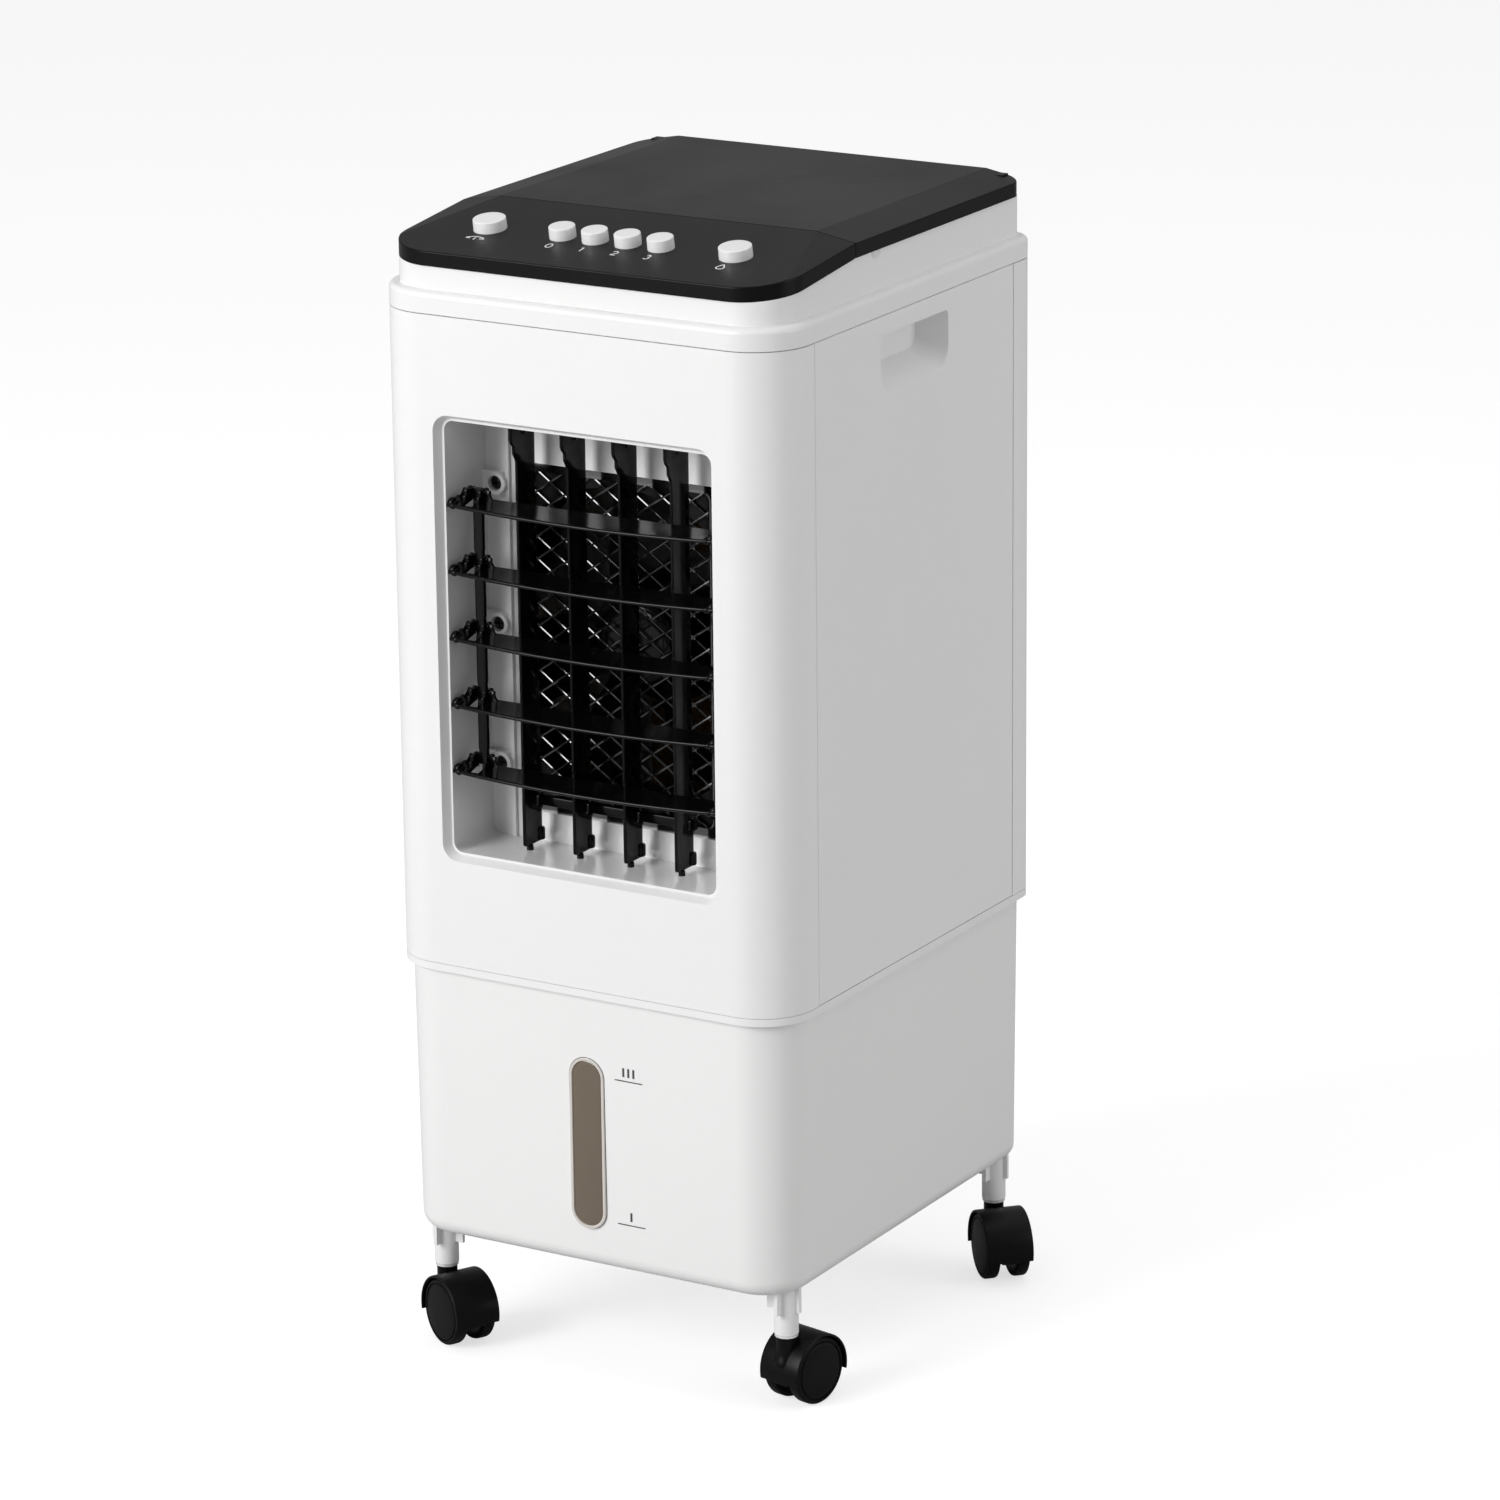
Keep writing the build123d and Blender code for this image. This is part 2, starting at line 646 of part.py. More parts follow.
def hose_line():
    """Up from the pump, to the rear and down again into the tray."""
    low = tank_bottom + tank_wall + pump_height + 6
    high = pad_low + pad_height + 26
    drop = pad_low + pad_height + 8
    over = rear_y - grille_rim - pad_thick / 2
    bend = 10.0
    short = bend * (1 - cos(radians(45)))
    line = Line((pump_x, pump_y, low), (pump_x, pump_y, high - bend))
    line += ThreePointArc((pump_x, pump_y, high - bend), (pump_x, pump_y + short, high - short),
                          (pump_x, pump_y + bend, high))
    line += Line((pump_x, pump_y + bend, high), (pump_x, over - bend, high))
    line += ThreePointArc((pump_x, over - bend, high), (pump_x, over - short, high - short),
                          (pump_x, over, high - bend))
    return line + Line((pump_x, over, high - bend), (pump_x, over, drop)), low


def pump_hose():
    """Rises from the pump's spout, through the base and over the tray's edge."""
    line, low = hose_line()
    start = Plane(origin=(pump_x, pump_y, low), z_dir=(0, 0, 1))
    hose = sweep(start * Circle(hose_radius), line)
    return hose - sweep(start * Circle(hose_radius - hose_wall), line)


def base_frame():
    """A skirt around the tank's top edge and a deck under the works."""
    frame = ring(0, wall, casing_bottom, lower_seam)
    deck = block(wall / 2, lower_seam - 2.5, lower_seam)
    deck -= cuboid((-78, 78), (-60, 62), (0, far))
    frame += deck
    frame += ring(wall + fit_gap, lip_wall, lower_seam - 1, lower_seam + lip_height)
    frame -= rod_z(hose_radius + 1.5, lower_seam - 9, lower_seam + 9, pump_x, pump_y)
    return frame


def tank_shape(grow_in, low, round_r):
    """The tank's outside, or its hollow when moved in by a wall."""
    high = lower_seam - 2.5
    inset = tank_inset + grow_in
    face = Rectangle(casing_width - 2 * inset, casing_depth - 2 * inset)
    face = fillet(face.vertices().group_by(Axis.Y)[0], tank_front_radius - grow_in)
    face = fillet(face.vertices().filter_by(lambda v: v.Y > 0).group_by(Axis.Y)[-1], tank_rear_radius - grow_in)
    body = extrude(Pos(0, 0, high) * face, amount=low - high, taper=tank_draft)
    return fillet(body.edges().group_by(Axis.Z)[0], round_r)


def caster_places():
    return {"fl": (-caster_x, caster_front_y), "fr": (caster_x, caster_front_y),
            "rl": (-caster_x, caster_rear_y), "rr": (caster_x, caster_rear_y)}


def tank_front(z):
    """Where the tank's front wall is at a height."""
    return front_y + tank_inset + (lower_seam - 2.5 - z) * tan(radians(tank_draft))


def water_tank():
    tank = tank_shape(0, tank_bottom, tank_round)
    top = lower_seam - 2.5
    for x, y in caster_places().values():
        socket = rod_z(socket_radius, socket_bottom, tank_bottom + tank_round, x, y)
        for angle in (0, 90, 180, 270):
            rib = Pos(x, y, 0) * Rot(0, 0, angle) * (
                cuboid((0, socket_radius + 4.5), (-1, 1), (socket_bottom + 12, tank_bottom + tank_round))
            )
            socket += rib & block(tank_inset + 4, 0, 200)
        tank += socket
    tank -= tank_shape(tank_wall, tank_bottom + tank_wall, tank_round - tank_wall) + block(
        tank_inset + tank_wall, top - 1, top + 1, tank_front_radius + tank_inset, tank_rear_radius + tank_inset)
    for x, y in caster_places().values():
        tank += rod_z(socket_radius, tank_bottom + 1, tank_bottom + tank_wall + 3, x, y) & block(
            tank_inset + 2, 0, 200)
        tank -= rod_z(stem_radius + running_gap, socket_bottom - 1, socket_bottom + socket_depth, x, y)
    window = window_outline(0, tank_front(window_middle) - 6)
    return tank - extrude(window, 20, dir=(0, 1, 0))


def window_outline(inset, y):
    """The level window's outline, upright, facing the front."""
    plane = Plane(origin=(0, y, window_middle), x_dir=(1, 0, 0), z_dir=(0, -1, 0))
    return plane * Rot(0, 0, 90) * SlotOverall(window_height - 2 * inset, window_width - 2 * inset)


def level_window():
    """A clear insert with a raised rim."""
    face = tank_front(window_middle + window_height / 2) - window_proud
    body = extrude(window_outline(0.1, face), 4.5, dir=(0, 1, 0))
    body = chamfer(body.faces().sort_by(Axis.Y)[0].edges(), 0.5)
    return body - extrude(window_outline(window_rim, face - 1), 2.6, dir=(0, 1, 0))


def caster_stems():
    stems = []
    for x, y in caster_places().values():
        stem = rod_z(stem_radius, neck_top - 14, socket_bottom + socket_depth - 0.5, x, y)
        stems.append(stem + rod_z(socket_radius - 0.3, neck_top + body_gap, socket_bottom, x, y))
    return Compound(stems)


def caster_frame(name):
    """The caster's own frame: X along the trail, Y along the axle, origin on the floor under the stem."""
    x, y = caster_places()[name]
    return Pos(x, y, 0) * Rot(0, 0, caster_yaw[name])


def caster_hood():
    """Half-cylinder cover with a middle web, neck and axle."""
    def drum(radius, width):
        return Pos(caster_trail, 0, wheel_radius) * Rot(90, 0, 0) * Cylinder(radius, width)
    def over(level):
        return cuboid((-far, far), (-far, far), (level, far))
    body = drum(hood_radius, hood_width) & over(wheel_radius - hood_drop)
    body = fillet(body.edges().filter_by(GeomType.CIRCLE), 0.8)
    web = drum(hood_radius - 0.6, wheel_gap - 2 * body_gap) & over(wheel_radius - web_drop)
    pocket_width = (hood_width - wheel_gap) / 2 + body_gap + 1
    pocket_middle = (wheel_gap - 2 * body_gap) / 2 + pocket_width / 2
    neck = rod_z(neck_radius, wheel_radius + 6, neck_top, 0, 0)
    foot = Pos(0, 0, wheel_radius + 13) * Cone(neck_radius + 3, neck_radius, 6)
    body += neck + (foot & cuboid((-far, far), (-9, 9), (0, neck_top)))
    body += web
    for side in (-1, 1):
        pocket = Pos(0, side * pocket_middle, 0) * drum(wheel_radius + hood_clear, pocket_width)
        body -= pocket
    body += drum(axle_radius, wheel_gap + 2 * wheel_width - 4)
    return body - rod_z(stem_radius + running_gap, neck_top - 14.3, neck_top + 1, 0, 0)


def caster_wheel(side):
    """Tyre with rounded shoulders and a domed cap; side is -1 or 1 along the axle."""
    inner = wheel_gap / 2
    outer = inner + wheel_width
    rim = wheel_radius - 2.4
    bore = axle_radius + running_gap
    profile = Polyline((bore, inner + 0.5), (wheel_radius - 5, inner + 0.5), (wheel_radius - 4, inner),
                       (wheel_radius - 0.8, inner), (wheel_radius, inner + 0.8), (wheel_radius, outer - 1.8),
                       (wheel_radius - 1, outer - 0.7), (rim + 0.3, outer - 0.2), (rim, outer - 0.9))
    dome = Polyline((rim, outer - 0.9), (rim * 0.75, outer - 0.4), (rim * 0.4, outer - 0.1), (0, outer))
    closing = Polyline((0, outer), (0, outer - 1.6), (bore, outer - 1.6), (bore, inner + 0.5))
    wheel = revolve(make_face(profile + dome + closing), Axis.Y)
    if side < 0:
        wheel = mirror(wheel, about=Plane.XZ)
    return Pos(caster_trail, 0, wheel_radius) * wheel


def cap_planes(drop):
    """Solids that lie above the black top's faces, for the panel and for the lid, each lowered by drop."""
    top = Vector(0, split_y, cap_top)
    front = Vector(0, front_y + cap_inset, cap_front_top)
    corner = Vector(crease_x, split_y, cap_top)
    edge_x = side_x - cap_inset
    edge = Vector(edge_x, split_y, cap_edge_top)
    fade_y = front_y + crease_end
    fade = Vector(edge_x, fade_y, panel_top(fade_y))
    slope = above(top, front, top + Vector(1, 0, 0), drop)
    right = above(corner, edge, fade, drop)
    flat = above(top, top + Vector(1, 0, 0), top + Vector(0, 1, 0), drop)
    side = above(corner, edge, corner + Vector(0, 1, 0), drop)
    return [slope, right, mirrored(right)], [flat, side, mirrored(side)]


def panel_top(y):
    """Height of the control panel's middle face."""
    return cap_top + (y - split_y) * panel_slope


def above(a, b, c, drop):
    """A thick slab whose lower face holds three points, lowered by drop along its normal."""
    normal = (b - a).cross(c - a).normalized()
    if normal.Z < 0:
        normal = normal * -1
    plane = Plane(origin=a - normal * drop, z_dir=normal)
    return plane * Pos(0, 0, 50) * Box(800, 800, 100)


def cap_solid(inset, drop, low):
    """The whole black top, panel or lid, as one massive shape down to low."""
    body = block(inset, low, cap_top + 1, cap_front_radius + cap_inset, cap_rear_radius + cap_inset)
    panel_cuts, lid_cuts = cap_planes(drop)
    panel = body & cuboid((-far, far), (-far, split_y - split_gap / 2 - drop), (0, far))
    lid = body & cuboid((-far, far), (split_y + split_gap / 2 + drop, far), (0, far))
    for cut in panel_cuts:
        panel -= cut
    for cut in lid_cuts:
        lid -= cut
    return panel, lid


def upper_rim(solid):
    """Edges where the black top's faces meet its walls, without those along the split."""
    walls = [f for f in solid.faces() if abs(f.normal_at().Z) < 0.3 and abs(f.center().Y - split_y) > cap_wall]
    tops = [e for f in solid.faces() if f.normal_at().Z > 0.8 for e in f.edges()]
    return [e for f in walls for e in f.edges() if any(e.is_same(top) for top in tops)]


def skirt_cut():
    """What lies below the panel's slanting lower edge."""
    low_rear = Vector(0, split_y, cap_edge_top - cap_skirt)
    low_front = Vector(0, front_y + cap_inset, cap_front_top - cap_skirt)
    normal = (low_rear - low_front).cross(Vector(1, 0, 0)).normalized()
    if normal.Z > 0:
        normal = normal * -1
    return Plane(origin=low_rear, z_dir=normal) * Pos(0, 0, 50) * Box(800, 800, 100)


def panel_frame(x):
    """A frame on the control panel's face at a button: Z out of the panel."""
    y = front_y + button_behind
    lean = radians(panel_angle)
    return Plane(origin=(x, y, panel_top(y)), x_dir=(1, 0, 0), z_dir=(0, -sin(lean), cos(lean)))


def button_list():
    small = [(-1.5, "off"), (-0.5, "low"), (0.5, "mid"), (1.5, "high")]
    buttons = {name: (step * small_button_step, small_button_radius, small_button_height) for step, name in small}
    buttons["swing"] = (-large_button_x, large_button_radius, large_button_height)
    buttons["cool"] = (large_button_x, large_button_radius, large_button_height)
    return buttons


def control_panel():
    outer, _ = cap_solid(cap_inset, 0, casing_top)
    inner, _ = cap_solid(cap_inset + cap_wall, cap_wall, casing_top - 1)
    outer -= skirt_cut()
    panel = fillet(upper_rim(outer), cap_round) - inner
    for x, radius, _ in button_list().values():
        panel -= panel_frame(x) * Cylinder(radius + button_gap, 20)
    for x in (-switch_post_x, switch_post_x):
        panel += panel_frame(x) * Pos(0, 0, -cap_wall - switch_drop / 2) * Cylinder(3, switch_drop)
    return panel


def switch_block():
    frame = panel_frame(0)
    top = -cap_wall - switch_drop
    return frame * Pos(0, 0, top - 5) * Box(2 * large_button_x + 24, 18, 10)


def button(x, radius, height):
    """A flat-topped key with a retaining flange under the panel."""
    key = Pos(0, 0, (height - 5) / 2) * Cylinder(radius, height + 5)
    key = fillet(key.edges().group_by(Axis.Z)[-1], 0.6)
    flange_top = -cap_wall - body_gap
    key += Pos(0, 0, flange_top - button_flange / 2) * Cylinder(radius + 1.5, button_flange)
    return panel_frame(x) * key


def hinge_y():
    return rear_y - cap_inset - cap_wall - hinge_pin_radius + 0.4


def hinge_z():
    return cap_top - 5.0


def top_lid():
    _, outer = cap_solid(cap_inset, 0, cap_edge_top - cap_skirt)
    _, inner = cap_solid(cap_inset + cap_wall, cap_wall, casing_top)
    lid = fillet(upper_rim(outer), cap_round) - inner
    y, z = hinge_y(), hinge_z()
    reach = rear_y - cap_inset - y
    corner = cuboid((-far, far), (y, far), (0, z)) - rod_x(reach, -far, far, y, z)
    # Two bosses beside each lug, from under the pin up into the lid's top.
    boss_low, boss_high = z - 3, cap_top - 1.5
    boss_step = hinge_lug / 2 + hinge_gap + hinge_boss / 2
    for side in (-1, 1):
        for x in (hinge_x - boss_step, hinge_x + boss_step):
            boss = Box(hinge_boss, 6, boss_high - boss_low)
            lid += Pos(side * x, y - 0.8, (boss_low + boss_high) / 2) * boss
    lid -= corner
    for side in (-1, 1):
        middle = side * hinge_x
        lid -= cuboid((middle - hinge_lug / 2 - hinge_gap, middle + hinge_lug / 2 + hinge_gap),
                      (y - 6, rear_y + 5), (casing_top, z + hinge_lug_radius + 0.6))
        lid -= rod_x(hinge_pin_radius, middle - 9, middle + 9, y, z)
    return lid


def lid_hinge_pins():
    pins = []
    for side in (-1, 1):
        half = hinge_lug / 2 + hinge_gap + hinge_boss
        pins.append(rod_x(hinge_pin_radius, side * hinge_x - half, side * hinge_x + half, hinge_y(), hinge_z()))
    return Compound(pins)


def top_frame():
    """The ledge band, the collar and the compartment under the lid."""
    band = block(0, upper_seam + seam / 2, casing_top)
    band = fillet(band.edges().group_by(Axis.Z)[-1], 3)
    collar = block(collar_inset, casing_top - 1, cap_edge_top - cap_skirt)
    body = band + collar
    body -= skirt_ceiling()
    inset = collar_inset + collar_wall
    hollow_low = bin_floor + 2.5
    body -= block(inset, hollow_low, far)
    body -= block(inset, upper_seam - 20, hollow_low - 2.5)
    body += ring(wall + fit_gap, lip_wall, upper_seam - lip_height, upper_seam + seam / 2 + 1)
    body += block(wall + fit_gap + 1, bin_floor, bin_floor + 2.5)
    # A wall between the controls and the compartment.
    divider = cuboid((-far, far), (split_y - 1, split_y + 1), (bin_floor, cap_edge_top - cap_skirt - 1))
    body += divider & block(inset - 0.5, 0, far)
    swing = rear_y - cap_inset - hinge_y()
    rail = block(collar_inset, cap_edge_top - cap_skirt - 1, hinge_z() - swing - body_gap - 0.2)
    body += (rail & cuboid((-far, far), (hinge_y(), far), (0, far))) - block(inset, 0, far)
    for side in (-1, 1):
        y = front_y + notch_behind
        body -= Pos(side * (side_x - collar_inset + 5), y, cap_edge_top - cap_skirt) * Sphere(notch_radius)
        left, right = side * hinge_x - hinge_lug / 2, side * hinge_x + hinge_lug / 2
        lug = rod_x(hinge_lug_radius, left, right, hinge_y(), hinge_z())
        lug += cuboid((left, right), (hinge_y() - hinge_lug_radius, hinge_y() + hinge_lug_radius),
                      (cap_edge_top - cap_skirt - 1, hinge_z()))
        body += lug - rod_x(hinge_pin_radius + running_gap, left - 1, right + 1, hinge_y(), hinge_z())
    for i in range(-2, 3):
        body -= rod_z(2.5, bin_floor - 1, bin_floor + 4, i * 30, rear_y - 40)
    return body


def skirt_ceiling():
    """What lies above the panel's lower edge, so that the collar meets it."""
    low_rear = Vector(0, split_y, cap_edge_top - cap_skirt)
    low_front = Vector(0, front_y + cap_inset, cap_front_top - cap_skirt)
    return above(low_rear, low_front, low_rear + Vector(1, 0, 0), 0)


nodes = {
    "front_cover": front_cover(),
    "air_duct": air_duct(),
    "duct_screws": duct_screws(),
    "finger_guard": finger_guard(),
    "fan_shroud": fan_shroud(),
    "fan_impeller": fan_impeller(),
    "fan_bracket": fan_bracket(),
    "fan_motor": fan_motor(),
    "louvre_link": louvre_link(),
    "vane_link": vane_link(),
    "swing_motor": swing_motor(),
    "swing_crank": swing_crank(),
    "side_panel_right": side_panel(),
    "rear_frame": rear_frame(),
    "rear_screws": rear_screws(),
    "rear_grille": rear_grille(),
    "dust_filter": dust_filter(),
    "cooling_pad": cooling_pad(),
    "water_tray": water_tray(),
    "water_pump": water_pump(),
    "pump_hose": pump_hose(),
    "cord_gland": cord_gland(),
    "base_frame": base_frame(),
    "water_tank": water_tank(),
    "level_window": level_window(),
    "caster_stems": caster_stems(),
    "control_panel": control_panel(),
    "switch_block": switch_block(),
    "top_lid": top_lid(),
    "lid_hinge_pins": lid_hinge_pins(),
    "top_frame": top_frame(),
}
nodes["side_panel_left"] = mirrored(nodes["side_panel_right"])
for number, height in enumerate(louvre_heights(), 1):
    nodes[f"louvre_{number}"] = louvre(height, pin_radius + running_gap if number == 1 else open_hole)
for number, place in enumerate(vane_places(), 1):
    nodes[f"vane_{number}"] = vane(place)
for name, (x, radius, height) in button_list().items():
    nodes[f"button_{name}"] = button(x, radius, height)
hood = caster_hood()
wheels = {1: caster_wheel(-1), 2: caster_wheel(1)}
for name in caster_places():
    nodes[f"caster_{name}_hood"] = caster_frame(name) * hood
    for number, wheel in wheels.items():
        nodes[f"caster_{name}_wheel_{number}"] = caster_frame(name) * wheel

os.makedirs("parts", exist_ok=True)
for name, solid in nodes.items():
    export_step(solid, f"parts/{name}.step")
    print(name, len(solid.solids()), round(solid.volume))
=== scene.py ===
import json
import math
import bpy
import numpy as np
from mathutils import Matrix, Vector


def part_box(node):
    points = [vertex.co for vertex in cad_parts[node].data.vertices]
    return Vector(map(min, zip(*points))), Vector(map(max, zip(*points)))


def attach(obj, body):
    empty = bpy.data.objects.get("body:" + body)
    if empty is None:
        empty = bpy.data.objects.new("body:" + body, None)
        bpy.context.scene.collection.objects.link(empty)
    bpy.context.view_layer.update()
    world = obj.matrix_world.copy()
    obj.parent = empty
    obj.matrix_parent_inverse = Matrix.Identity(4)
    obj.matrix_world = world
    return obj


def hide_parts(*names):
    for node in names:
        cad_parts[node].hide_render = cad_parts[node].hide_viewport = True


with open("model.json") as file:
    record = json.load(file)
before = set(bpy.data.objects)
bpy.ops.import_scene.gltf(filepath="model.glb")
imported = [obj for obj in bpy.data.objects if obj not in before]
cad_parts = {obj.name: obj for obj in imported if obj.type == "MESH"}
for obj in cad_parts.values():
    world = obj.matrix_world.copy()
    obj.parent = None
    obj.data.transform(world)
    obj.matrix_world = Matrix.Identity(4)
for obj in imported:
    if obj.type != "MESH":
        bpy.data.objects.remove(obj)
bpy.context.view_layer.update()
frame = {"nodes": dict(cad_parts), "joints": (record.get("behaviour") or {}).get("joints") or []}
joints = {joint["name"]: joint for joint in frame["joints"]}
mm = 0.001
print("frame loaded")


def feed(tree, socket, value):
    # a socket is linked, any other value is set
    if isinstance(value, bpy.types.NodeSocket):
        tree.links.new(value, socket)
    elif value is not None:
        socket.default_value = value


def addNode(tree, kind, place, settings=None, **values):
    made = tree.nodes.new(kind)
    made.location = place
    for key, value in (settings or {}).items():
        setattr(made, key, value)
    for key, value in values.items():
        feed(tree, made.inputs[key], value)
    return made


def newGroup(name, inputs, outputs):
    # inputs without a value are vectors; every output is a number
    tree = bpy.data.node_groups.new(name, "ShaderNodeTree")
    for label, value in inputs.items():
        kind = "NodeSocketVector" if value is None else "NodeSocketFloat"
        socket = tree.interface.new_socket(label, in_out="INPUT", socket_type=kind)
        feed(tree, socket, value)
    for label in outputs:
        tree.interface.new_socket(label, in_out="OUTPUT", socket_type="NodeSocketFloat")
    start = addNode(tree, "NodeGroupInput", (-900, 0))
    end = addNode(tree, "NodeGroupOutput", (700, 0))
    return tree, start.outputs, end


def useGroup(tree, group, place, **values):
    made = tree.nodes.new("ShaderNodeGroup")
    made.node_tree = group
    made.location = place
    for key, value in values.items():
        feed(tree, made.inputs[key], value)
    return made


def mathNode(tree, operation, place, a=None, b=None):
    made = addNode(tree, "ShaderNodeMath", place, {"operation": operation})
    feed(tree, made.inputs[0], a)
    feed(tree, made.inputs[1], b)
    return made.outputs[0]


def noiseNode(tree, place, coords, **values):
    return addNode(tree, "ShaderNodeTexNoise", place, Vector=coords, **values).outputs["Fac"]


def rangeNode(tree, place, value, **limits):
    # camel-case limits such as fromMin name the sockets From Min and so on
    named = {key[:-3].capitalize() + " " + key[-3:]: limit for key, limit in limits.items()}
    return addNode(tree, "ShaderNodeMapRange", place, Value=value, **named).outputs["Result"]


def bumpNode(tree, shader, height, strength, distance):
    bump = addNode(tree, "ShaderNodeBump", (-300, -300), Strength=strength, Distance=distance, Height=height)
    feed(tree, shader.inputs["Normal"], bump.outputs["Normal"])


def makeMouldGrain():
    # fine spark-eroded grain: two noises of different size, added
    tree, start, end = newGroup("mouldGrain", {"Coords": None, "Scale": 900.0, "Depth": 1.0},
                                ("Height", "Fleck"))
    wide = mathNode(tree, "MULTIPLY", (-700, -200), start["Scale"], 0.21)
    fine = noiseNode(tree, (-500, 150), start["Coords"], Scale=start["Scale"], Detail=3.0, Roughness=0.6)
    coarse = noiseNode(tree, (-500, -150), start["Coords"], Scale=wide, Detail=1.0)
    both = mathNode(tree, "ADD", (-200, 0), fine, coarse)
    feed(tree, end.inputs["Height"], mathNode(tree, "MULTIPLY", (100, 0), both, start["Depth"]))
    feed(tree, end.inputs["Fleck"], fine)
    return tree


def makeHandling():
    # large soft patches where hands and cloths have passed, for roughness and tone
    tree, start, end = newGroup("handling", {"Coords": None, "Scale": 9.0, "Low": 0.3, "High": 0.4},
                                ("Rough", "Patch"))
    patch = noiseNode(tree, (-500, 0), start["Coords"], Scale=start["Scale"], Detail=4.0, Roughness=0.55,
                      Distortion=0.4)
    rough = rangeNode(tree, (-100, 0), patch, fromMin=0.35, fromMax=0.65, toMin=start["Low"],
                      toMax=start["High"])
    feed(tree, end.inputs["Rough"], rough)
    feed(tree, end.inputs["Patch"], patch)
    return tree


def makeSettledDust():
    # a thin film on faces that look up, broken by noise
    tree, start, end = newGroup("settledDust", {"Coords": None, "Amount": 0.1, "Scale": 60.0}, ("Mask",))
    facing = addNode(tree, "ShaderNodeNewGeometry", (-700, 200)).outputs["Normal"]
    split = addNode(tree, "ShaderNodeSeparateXYZ", (-500, 200), Vector=facing)
    up = rangeNode(tree, (-300, 200), split.outputs["Z"], fromMin=0.6)
    noise = noiseNode(tree, (-500, -100), start["Coords"], Scale=start["Scale"], Detail=5.0)
    film = mathNode(tree, "MULTIPLY", (0, 100), up, noise)
    feed(tree, end.inputs["Mask"], mathNode(tree, "MULTIPLY", (200, 100), film, start["Amount"]))
    return tree


def makeEdgeWearAndHighlight():
    # a light mask on convex edges: painted edge highlight, and wear where plastic is rubbed smooth
    tree, start, end = newGroup("edgeWearAndHighlight", {"Coords": None, "Amount": 0.3}, ("Mask",))
    sharpness = addNode(tree, "ShaderNodeNewGeometry", (-700, 200)).outputs["Pointiness"]
    edge = rangeNode(tree, (-400, 200), sharpness, fromMin=0.53, fromMax=0.62)
    noise = noiseNode(tree, (-500, -100), start["Coords"], Scale=140.0, Detail=4.0)
    wearAndHighlightMask = mathNode(tree, "MULTIPLY", (0, 100), edge, noise)
    feed(tree, end.inputs["Mask"], mathNode(tree, "MULTIPLY", (200, 100), wearAndHighlightMask, start["Amount"]))
    return tree


mouldGrain = makeMouldGrain()
handling = makeHandling()
settledDust = makeSettledDust()
edgeWearAndHighlight = makeEdgeWearAndHighlight()


def startMaterial(name, look):
    made = bpy.data.materials.new(name)
    made.use_nodes = True
    tree = made.node_tree
    shader = tree.nodes["Principled BSDF"]
    shader.inputs["Roughness"].default_value = look.get("rough", 0.4)
    shader.inputs["Metallic"].default_value = look.get("metal", 0.0)
    shader.inputs["Coat Weight"].default_value = look.get("coat", 0.0)
    shader.inputs["Coat Roughness"].default_value = 0.1
    shader.inputs["Specular IOR Level"].default_value = look.get("spec", 0.5)
    coords = addNode(tree, "ShaderNodeTexCoord", (-1400, 0)).outputs["Object"]
    return made, tree, shader, coords


def mixColor(tree, place, first, second, factor):
    made = addNode(tree, "ShaderNodeMix", place, {"data_type": "RGBA"})
    feed(tree, made.inputs[0], factor)
    feed(tree, made.inputs[6], first)
    feed(tree, made.inputs[7], second)
    return made.outputs[2]


def mouldedPlastic(name, look):
    made, tree, shader, coords = startMaterial(name, look)
    grain = useGroup(tree, mouldGrain, (-1100, -300), Coords=coords, Scale=look["grain"], Depth=look["depth"])
    patches = useGroup(tree, handling, (-1100, 0), Coords=coords, Scale=look["patch"],
                       Low=look["rough"] - look["vary"], High=look["rough"] + look["vary"])
    film = useGroup(tree, settledDust, (-1100, 300), Coords=coords, Amount=look["dust"]).outputs["Mask"]
    wearAndHighlightMask = useGroup(tree, edgeWearAndHighlight, (-1100, 500), Coords=coords, Amount=look["wear"]).outputs["Mask"]
    flecks = mathNode(tree, "MULTIPLY", (-700, -100), grain.outputs["Fleck"], look["fleckAmount"])
    toned = mixColor(tree, (-700, 200), look["color"], look["shade"], patches.outputs["Patch"])
    flecked = mixColor(tree, (-500, 200), toned, look["fleck"], flecks)
    # convex edges turn to the lighter edge colour: painted edge highlight as well as wear
    wornAndHighlit = mixColor(tree, (-300, 200), flecked, look["edge"], wearAndHighlightMask)
    feed(tree, shader.inputs["Base Color"], mixColor(tree, (-100, 200), wornAndHighlit, look["dustColor"], film))
    feed(tree, shader.inputs["Roughness"], patches.outputs["Rough"])
    bumpNode(tree, shader, grain.outputs["Height"], look["bump"], 0.0002)
    return made


def grey(value, warm=0.0):
    return (value * (1 + warm), value, value * (1 - warm), 1.0)


def plasticLook(value, warm=0.0, **changes):
    # edge is the lighter colour of convex edges: a painted edge highlight as well as wear; wear sets how much
    # of it shows
    look = {"color": grey(value, warm), "shade": grey(value * 0.96, warm), "fleck": grey(value * 0.9, warm),
            "edge": grey(min(1.0, value * 1.06 + 0.012), warm), "dustColor": grey(0.42, 0.05),
            "fleckAmount": 0.12, "rough": 0.38, "vary": 0.05, "coat": 0.0, "grain": 1500.0, "depth": 1.0,
            "bump": 0.06, "patch": 8.0, "dust": 0.02, "wear": 0.3}
    look.update(changes)
    return look


